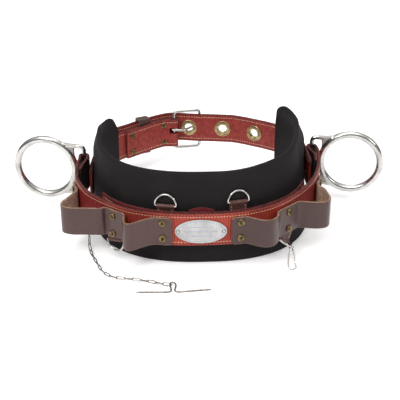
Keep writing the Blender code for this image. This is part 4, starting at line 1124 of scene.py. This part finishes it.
def makeRing(name, node, heel, side, turn):
    c, s = cos(radians(turn)), sin(radians(turn))
    heel = Vector((*heel, ringShape["centerZ"]))

    def at(u, v, w):
        return heel + Vector((side * (u * c) - v * s * side, u * s + v * c, w))

    shape = bmesh.new()

    def merge(mesh):
        shape.from_mesh(mesh)
        bpy.data.meshes.remove(mesh)

    radius, reach, armGap = ringShape["radius"], ringShape["reach"], ringShape["armGap"]
    bow = [at(reach + c, 0, s) for c, s in circle(96, radius)]
    merge(wire("bow", bow, ringShape["bar"], 20, True))
    armEnd, webWide, corner = ringShape["armEnd"], ringShape["webWide"], ringShape["corner"]
    half = [(armEnd, ringShape["armSpread"]), (ringShape["armBend"], armGap), (corner * 1.6, armGap),
            (corner * 0.45, armGap - corner * 0.45), (0, armGap - corner * 1.6)]
    stirrup = [at(u, 0, -w) for u, w in half] + [at(u, 0, w) for u, w in reversed(half)]
    merge(wire("arms", stirrup, ringShape["arm"], 16))
    outline = [(ringShape["webEdge"], -armGap), (ringShape["webEdge"], armGap), (armEnd, webWide)]
    hole = radius - ringShape["webInset"]
    begin = radians(ringShape["webFrom"])
    for i in range(33):
        angle = begin + (tau - 2 * begin) * i / 32
        outline.append((reach + hole * cos(angle), hole * sin(angle)))
    outline.append((armEnd, -webWide))
    merge(skin("web", [[at(u, v, w) for u, w in outline]
                       for v in (-ringShape["web"] / 2, ringShape["web"] / 2)]))
    mesh = bpy.data.meshes.new(name)
    shape.to_mesh(mesh)
    shape.free()
    holder = placed("cutter", mesh)
    remesh = holder.modifiers.new("forged", "REMESH")
    remesh.mode = "VOXEL"
    remesh.voxel_size = ringShape["voxel"] * mm
    smooth = holder.modifiers.new("smooth", "SMOOTH")
    smooth.factor = 0.5
    smooth.iterations = ringShape["smooth"]
    made = settled(holder)
    bpy.data.objects.remove(holder, do_unlink=True)
    dull = made.attributes.new("dull", "FLOAT", "POINT")
    for vertex in made.vertices:
        place = vertex.co / mm - loopMiddle - heel
        u = (place.x * c * side) + place.y * s
        v = place.y * c - place.x * s * side
        off = hypot(hypot(u - reach, place.z) - radius, v)
        web = eased(off, ringShape["bar"] + 0.2, ringShape["bar"] + 1) * eased(u, 8, 11.5)
        dull.data[vertex.index].value = web * (1 - eased(abs(v), 2.4, 3.2))
    finished(name, made, "steel", node, [node], sharp=75)


makeRing("leftSideRing", "ring_left", ringShape["heelLeft"], -1, ringShape["turn"])
makeRing("rightSideRing", "ring_right", ringShape["heelRight"], 1, -ringShape["turn"])
print("side rings made")


# the straps and buckle at the wearer's front

frontShape = {
    "thickness": 3.6, "drop": 8, "tongueLow": 36, "billetLow": 30, "heelX": -33, "rollerX": 6.5,
    "step": 2.6, "grommetRadius": 12.6, "hole": 6.3, "pitch": 52.5, "grommetZ": 58, "usedHoleX": -10,
    "tongue": ((150, -20, 2.3), (148, 30, 2.5), (146, 55, 2.7), (136, 86, 2.9),
               (118, 114, 2.6), (60, 150, 1.4), (20.5, 160, 1.5), (6.5, 160, 2.2),
               (-8, 160, 5), (-22, 159, 8.6), (-33, 158, 12.2), (-48, 154, 13),
               (-62, 150, 13.2), (-78, 143, 13.6), (-92, 135, 14), (-106, 124, 14.8),
               (-126, 104, 13.4), (-134, 92, 12.6)),
    "billetOuter": ((-149, -15, 2.2), (-149, 20, 2.2), (-143, 62, 2.8), (-124, 106, 6.4),
                    (-106, 124, 7.2), (-92, 135, 7.6), (-78, 143, 7.8), (-62, 150, 7.4),
                    (-48, 154, 7.2)),
    "billetInner": ((-48, 154, 3.2), (-62, 150, 1.9), (-78, 143, 1), (-92, 135, 1.7),
                    (-103, 126.5, 2.9)),
    "creases": (-56.5, -92), "rivetsAt": (-50.5, -98), "rivetHeights": (65.5, 39),
}
buckleShape = {"wire": 2.2, "halfHeight": 29.5, "z": 56, "heelY": 161, "rollerY": 167, "corner": 5,
               "prong": 1.7, "slot": ((-7, -11), (12, -11), (12, 11), (-7, 11)), "slotFrom": -6.5,
               "slotTo": 2.5,
               "prongRun": ((-24.5, 155.9), (-17.8, 157.2), (-13.4, 161), (-9.5, 165.4), (-5.4, 169.6),
                            (0, 171.7))}
keeperShape = {"x": -80, "width": 18, "thickness": 1.4, "proud": 1.8, "round": 2.2}


def strapDrop(x):
    return frontShape["drop"] * eased(-x, 35, 110)


def offLoop(rows):
    points = []
    for x, y, out in rows:
        place = Vector((x, y, 0))
        i = min(range(1, len(waistLoop) - 1), key=lambda k: (waistLoop[k] - place).length)
        run = (waistLoop[i + 1] - waistLoop[i - 1]).normalized()
        points.append(waistLoop[i] + Vector((run.y, -run.x, 0)) * out)
    return points


def flatAtHoles(line):
    # the line made straight where each grommet sits, with the place and direction of each hole
    along = lengthsAlong(line)
    crossed = max(i for i in range(len(line) - 1) if line[i].x > frontShape["usedHoleX"])
    share = (line[crossed].x - frontShape["usedHoleX"]) / (line[crossed].x - line[crossed + 1].x)
    used = along[crossed] + share * (along[crossed + 1] - along[crossed])
    flat = frontShape["grommetRadius"] + 1
    kept = dict(zip(along, line))
    places = []
    for k in (-2, -1, 0, 1, 2):
        want = used + k * frontShape["pitch"]
        ends = [pointAt(line, along, want - flat), pointAt(line, along, want + flat)]
        kept = {s: p for s, p in kept.items() if abs(s - want) > flat + 0.5}
        for t in (0, 0.25, 0.5, 0.75, 1):
            kept[want - flat + 2 * flat * t] = ends[0].lerp(ends[1], t)
        run = (ends[1] - ends[0]).normalized()
        places.append(((ends[0] + ends[1]) / 2, Vector((run.y, -run.x, 0))))
    return [kept[s] for s in sorted(kept)], places


def makeTongueStrap():
    line = smoothLine(offLoop(frontShape["tongue"]), frontShape["step"], edgeEnds)
    line, holes = flatAtHoles(line)
    low = [frontShape["tongueLow"] - strapDrop(p.x) for p in line]
    high = [value + beltShape["width"] for value in low]
    places = standing(line, low, high, None, 6)
    mesh = band("tongueStrap", places, frontShape["thickness"], 1.1)
    piece = finished("tongueStrap", mesh, "waistRed", nodes=["tongue_strap"])
    seats = []
    cutters = []
    for point, out in holes:
        center = raised(point, frontShape["grommetZ"] - strapDrop(point.x))
        seats.append((center, out, None))
        across = out.cross(upright)
        ring = [center + across * c + upright * s for c, s in circle(24, frontShape["hole"] + 1.6)]
        cutters.append(placed("cutter", skin("hole", [[p + out * d for p in ring] for d in (-7, 7)])))
    cutAway(piece, cutters)
    bandStitches("tongueStrap", places, frontShape["thickness"], trim=3)
    half = frontShape["thickness"] / 2
    r, hole = frontShape["grommetRadius"], frontShape["hole"]
    profile = [(hole, -half), (hole, half), (hole + 0.3, half + 0.8), (hole + 1.2, half + 1.15),
               (hole + 2.6, half + 1.05), (r - 2.4, half + 0.75), (r - 1.2, half + 0.8),
               (r - 0.3, half + 0.55), (r, half + 0.15), (hole + 1, half + 0.15)]
    profile += [(a, -b) for a, b in reversed(profile[2:])]
    grommet = lathe("grommet", profile, 36)

    # A duller, darker band round the outer part of each grommet's flange.
    def flangeBand(co):
        flat = hypot(co.x, co.y)
        return eased(flat, r - 3.4, r - 2.2) * (1 - eased(flat, r - 1.9, r - 0.9)) * 0.4

    copied("grommets", grommet, seats, "brass", [f"grommet_{k + 1}" for k in range(5)], flangeBand)
    return line


def makeBuckleStrap():
    radius = buckleShape["wire"] + gap * 2 + frontShape["thickness"] / 2
    heel = Vector((frontShape["heelX"], buckleShape["heelY"], 0))
    outer = smoothLine(offLoop(frontShape["billetOuter"]), frontShape["step"])
    inner = smoothLine(offLoop(frontShape["billetInner"]), frontShape["step"])
    run = Vector((1, 0.13, 0)).normalized()
    across = Vector((-run.y, run.x, 0))
    turn = [heel + (run * cos(a) + across * sin(a)) * radius
            for a in [pi / 2 - pi * i / 18 for i in range(19)]]
    line = evenly(outer + turn + inner, 2.2, edgeEnds)
    low = [frontShape["billetLow"] - strapDrop(p.x) for p in line]
    places = standing(line, low, [value + beltShape["width"] for value in low])
    mesh = band("buckleStrap", places, frontShape["thickness"], 1.1)
    # a pressed crease across the billet beside each pair of rivets
    for vertex in mesh.vertices:
        place = vertex.co / mm - loopMiddle
        if place.y > 120 and vertex.normal.y < -0.3:
            for x in frontShape["creases"]:
                near = 1 - min(1, abs(place.x - x) / 2.4)
                vertex.co.y += near * near * 0.5 * mm
    piece = finished("buckleStrap", mesh, "waistRed", nodes=["buckle_strap"])
    z = frontShape["grommetZ"]
    slot = skin("slot", [[raised(heel + Vector((*corner, 0)), z + h) for corner in buckleShape["slot"]]
                         for h in (buckleShape["slotFrom"], buckleShape["slotTo"])])
    cutAway(piece, [placed("cutter", slot)])
    bandStitches("buckleStrap", places, frontShape["thickness"], trim=3)
    normals = levelNormals(line)
    # the last place where the line passes an x is on the inner ply
    seats = []
    for x in frontShape["rivetsAt"]:
        i = max(k for k in range(len(line) - 1) if (line[k].x - x) * (line[k + 1].x - x) <= 0)
        inward = -normals[i]
        place = line[i] + inward * (frontShape["thickness"] / 2 + gap * 0.5)
        seats += [(raised(place, h - strapDrop(x)), inward, None) for h in frontShape["rivetHeights"]]
    head = lathe("billetRivet", [(a * rivetShape["small"], b * 0.9) for a, b in rivetShape["head"]])
    nodes = [f"billet_rivet_{k}_{end}" for k in ("near", "far") for end in ("top", "bottom")]
    copied("billetRivets", head, seats, "antique", nodes, rivetPaintedShade)
    return outer


def makeBuckle():
    heel = Vector((frontShape["heelX"], buckleShape["heelY"], 0))
    roller = Vector((frontShape["rollerX"], buckleShape["rollerY"], 0))
    run = (roller - heel).normalized()
    low = buckleShape["z"] - buckleShape["halfHeight"]
    high = buckleShape["z"] + buckleShape["halfHeight"]
    corner = buckleShape["corner"]
    points = []
    for start, step, z, toward in ((heel, run, low, 1), (roller, -run, low, 1),
                                   (roller, -run, high, -1), (heel, run, high, -1)):
        bend = []
        for t in range(7):
            angle = pi / 2 * t / 6
            bend.append(start + step * corner * (1 - cos(angle))
                        + upright * (z + toward * corner * (1 - sin(angle))))
        if (start is roller) == (z == low):
            bend.reverse()
        points += bend
    dense = []
    for a, b in zip(points, points[1:] + points[:1]):
        pieces = max(1, round((b - a).length / 3))
        dense += [a.lerp(b, k / pieces) for k in range(pieces)]
    finished("buckleFrame", wire("buckleFrame", dense, buckleShape["wire"], 18, True), "steel",
             nodes=["buckle_frame"])
    radius = buckleShape["wire"] + gap + buckleShape["prong"]
    z = frontShape["grommetZ"] - 1
    curl = [(heel.x + radius * cos(a), heel.y + radius * sin(a), z)
            for a in [radians(20 + 235 * i / 8) for i in range(9)]]
    curl += [(*p, z) for p in (*buckleShape["prongRun"], (roller.x + 2.5, roller.y + radius + 0.1))]
    finished("bucklePin", wire("bucklePin", smoothLine(curl, 0.9), buckleShape["prong"], 14, tips=1.6),
             "steel", nodes=["buckle_prong"])


def makeKeeper(outer, tongue):
    middle = min(range(len(outer)), key=lambda i: abs(outer[i].x - keeperShape["x"]))
    run = (outer[middle + 1] - outer[middle - 1]).normalized()
    across = Vector((-run.y, run.x, 0))
    center = outer[middle] + run * (keeperShape["x"] - outer[middle].x)
    tail = min(tongue, key=lambda p: (p - center).length)
    half = frontShape["thickness"] / 2
    inside = -(half + gap * 4)
    outside = (tail - center).dot(across) + half + keeperShape["proud"]
    drop = strapDrop(keeperShape["x"])
    slope = strapDrop(keeperShape["x"] - keeperShape["width"] / 2) - drop
    low = frontShape["billetLow"] - drop - slope - gap * 2
    high = frontShape["tongueLow"] + beltShape["width"] - drop + slope + gap * 2
    grow = keeperShape["thickness"] / 2
    r = keeperShape["round"]
    places = []
    left, right, foot, top = inside - grow + r, outside + grow - r, low - grow + r, high + grow - r
    for cx, cz, begin in ((right, top, 0), (left, top, 90), (left, foot, 180), (right, foot, 270)):
        for k in range(7):
            angle = radians(begin + 15 * k)
            away = across * cos(angle) + upright * sin(angle)
            places.append((center + across * cx + upright * cz + away * r, away))
    dense = []
    for (a, m), (b, n) in zip(places, places[1:] + places[:1]):
        pieces = max(1, round((b - a).length / 4))
        dense += [(a.lerp(b, k / pieces), m.lerp(n, k / pieces).normalized()) for k in range(pieces)]
    wide = keeperShape["width"] / 2
    rows = [(p, m, run, -wide, wide) for p, m in dense]
    mesh = band("keeperLoop", rows, keeperShape["thickness"], 0.5, 0, 3, True)
    finished("keeperLoop", mesh, "darkBrown", nodes=["keeper"])


tongueLine = makeTongueStrap()
billetLine = makeBuckleStrap()
makeBuckle()
makeKeeper(billetLine, tongueLine)
print("front straps and buckle made")


# stage

view = {"target": (0, 0.0275, 0.0126), "distance": 1.345, "azimuth": 2.5, "elevation": 26, "lens": 85.5,
        "floor": 14, "skyTones": ((0.02, 0.1), (0.95, 0.6), (0.4, 0.25)),
        "sky": 1.1, "skyAngle": 50, "skyTurn": (14, -10, 0)}
# where each light is, its size and its power
lights = {"keyLight": ((-0.9, -1.1, 1.3), 0.4, 9), "fillLight": ((1.3, -0.7, 0.9), 0.4, 4),
          "backLight": ((0.2, 1.3, 1.3), 0.8, 3.5)}


def makeStage():
    a, e = radians(view["azimuth"]), radians(view["elevation"])
    back = Vector((-sin(a) * cos(e), -cos(a) * cos(e), sin(e)))
    data = bpy.data.cameras.new("camera")
    data.lens = view["lens"]
    data.clip_start = 0.01
    camera = placed("camera", data)
    camera.location = Vector(view["target"]) + back * view["distance"]
    camera.rotation_euler = (-back).to_track_quat("-Z", "Y").to_euler()
    bpy.context.scene.camera = camera
    shape = bmesh.new()
    bmesh.ops.create_grid(shape, x_segments=2, y_segments=2, size=view["floor"])
    mesh = bpy.data.meshes.new("floor")
    shape.to_mesh(mesh)
    shape.free()
    made = Finish("paper")
    cloud = made.speckle(made.place(), 3)
    mesh.materials.append(made.wear(Base_Color=made.mixed(cloud, paint(250, 250, 250), paint(246, 246, 246)),
                                    Roughness=0.9, Emission_Color=(1, 1, 1, 1),
                                    Emission_Strength=0.3))
    placed("floor", mesh)
    world = bpy.data.worlds.new("studio")
    world.use_nodes = True
    tree = world.node_tree
    height = tree.nodes.new("ShaderNodeSeparateXYZ")
    ramp = tree.nodes.new("ShaderNodeValToRGB")
    stops = ramp.color_ramp.elements
    for element, (place, tone) in zip((stops[0], stops[1], stops.new(0.5)), view["skyTones"]):
        element.position = place
        element.color = (tone, tone, tone, 1)
    tree.links.new(tree.nodes.new("ShaderNodeTexCoord").outputs["Generated"], height.inputs["Vector"])
    tree.links.new(height.outputs["Z"], ramp.inputs["Fac"])
    tree.links.new(ramp.outputs["Color"], tree.nodes["Background"].inputs["Color"])
    bpy.context.scene.world = world
    bpy.context.scene.view_settings.view_transform = "Standard"
    data = bpy.data.lights.new("skyLight", "SUN")
    data.energy = view["sky"]
    data.angle = radians(view["skyAngle"])
    light = placed("skyLight", data)
    light.rotation_euler = [radians(turn) for turn in view["skyTurn"]]
    for name, (place, size, power) in lights.items():
        data = bpy.data.lights.new(name, "AREA")
        data.size = size
        data.energy = power
        light = placed(name, data)
        light.location = place
        light.rotation_euler = (-Vector(place)).to_track_quat("-Z", "Y").to_euler()


makeStage()
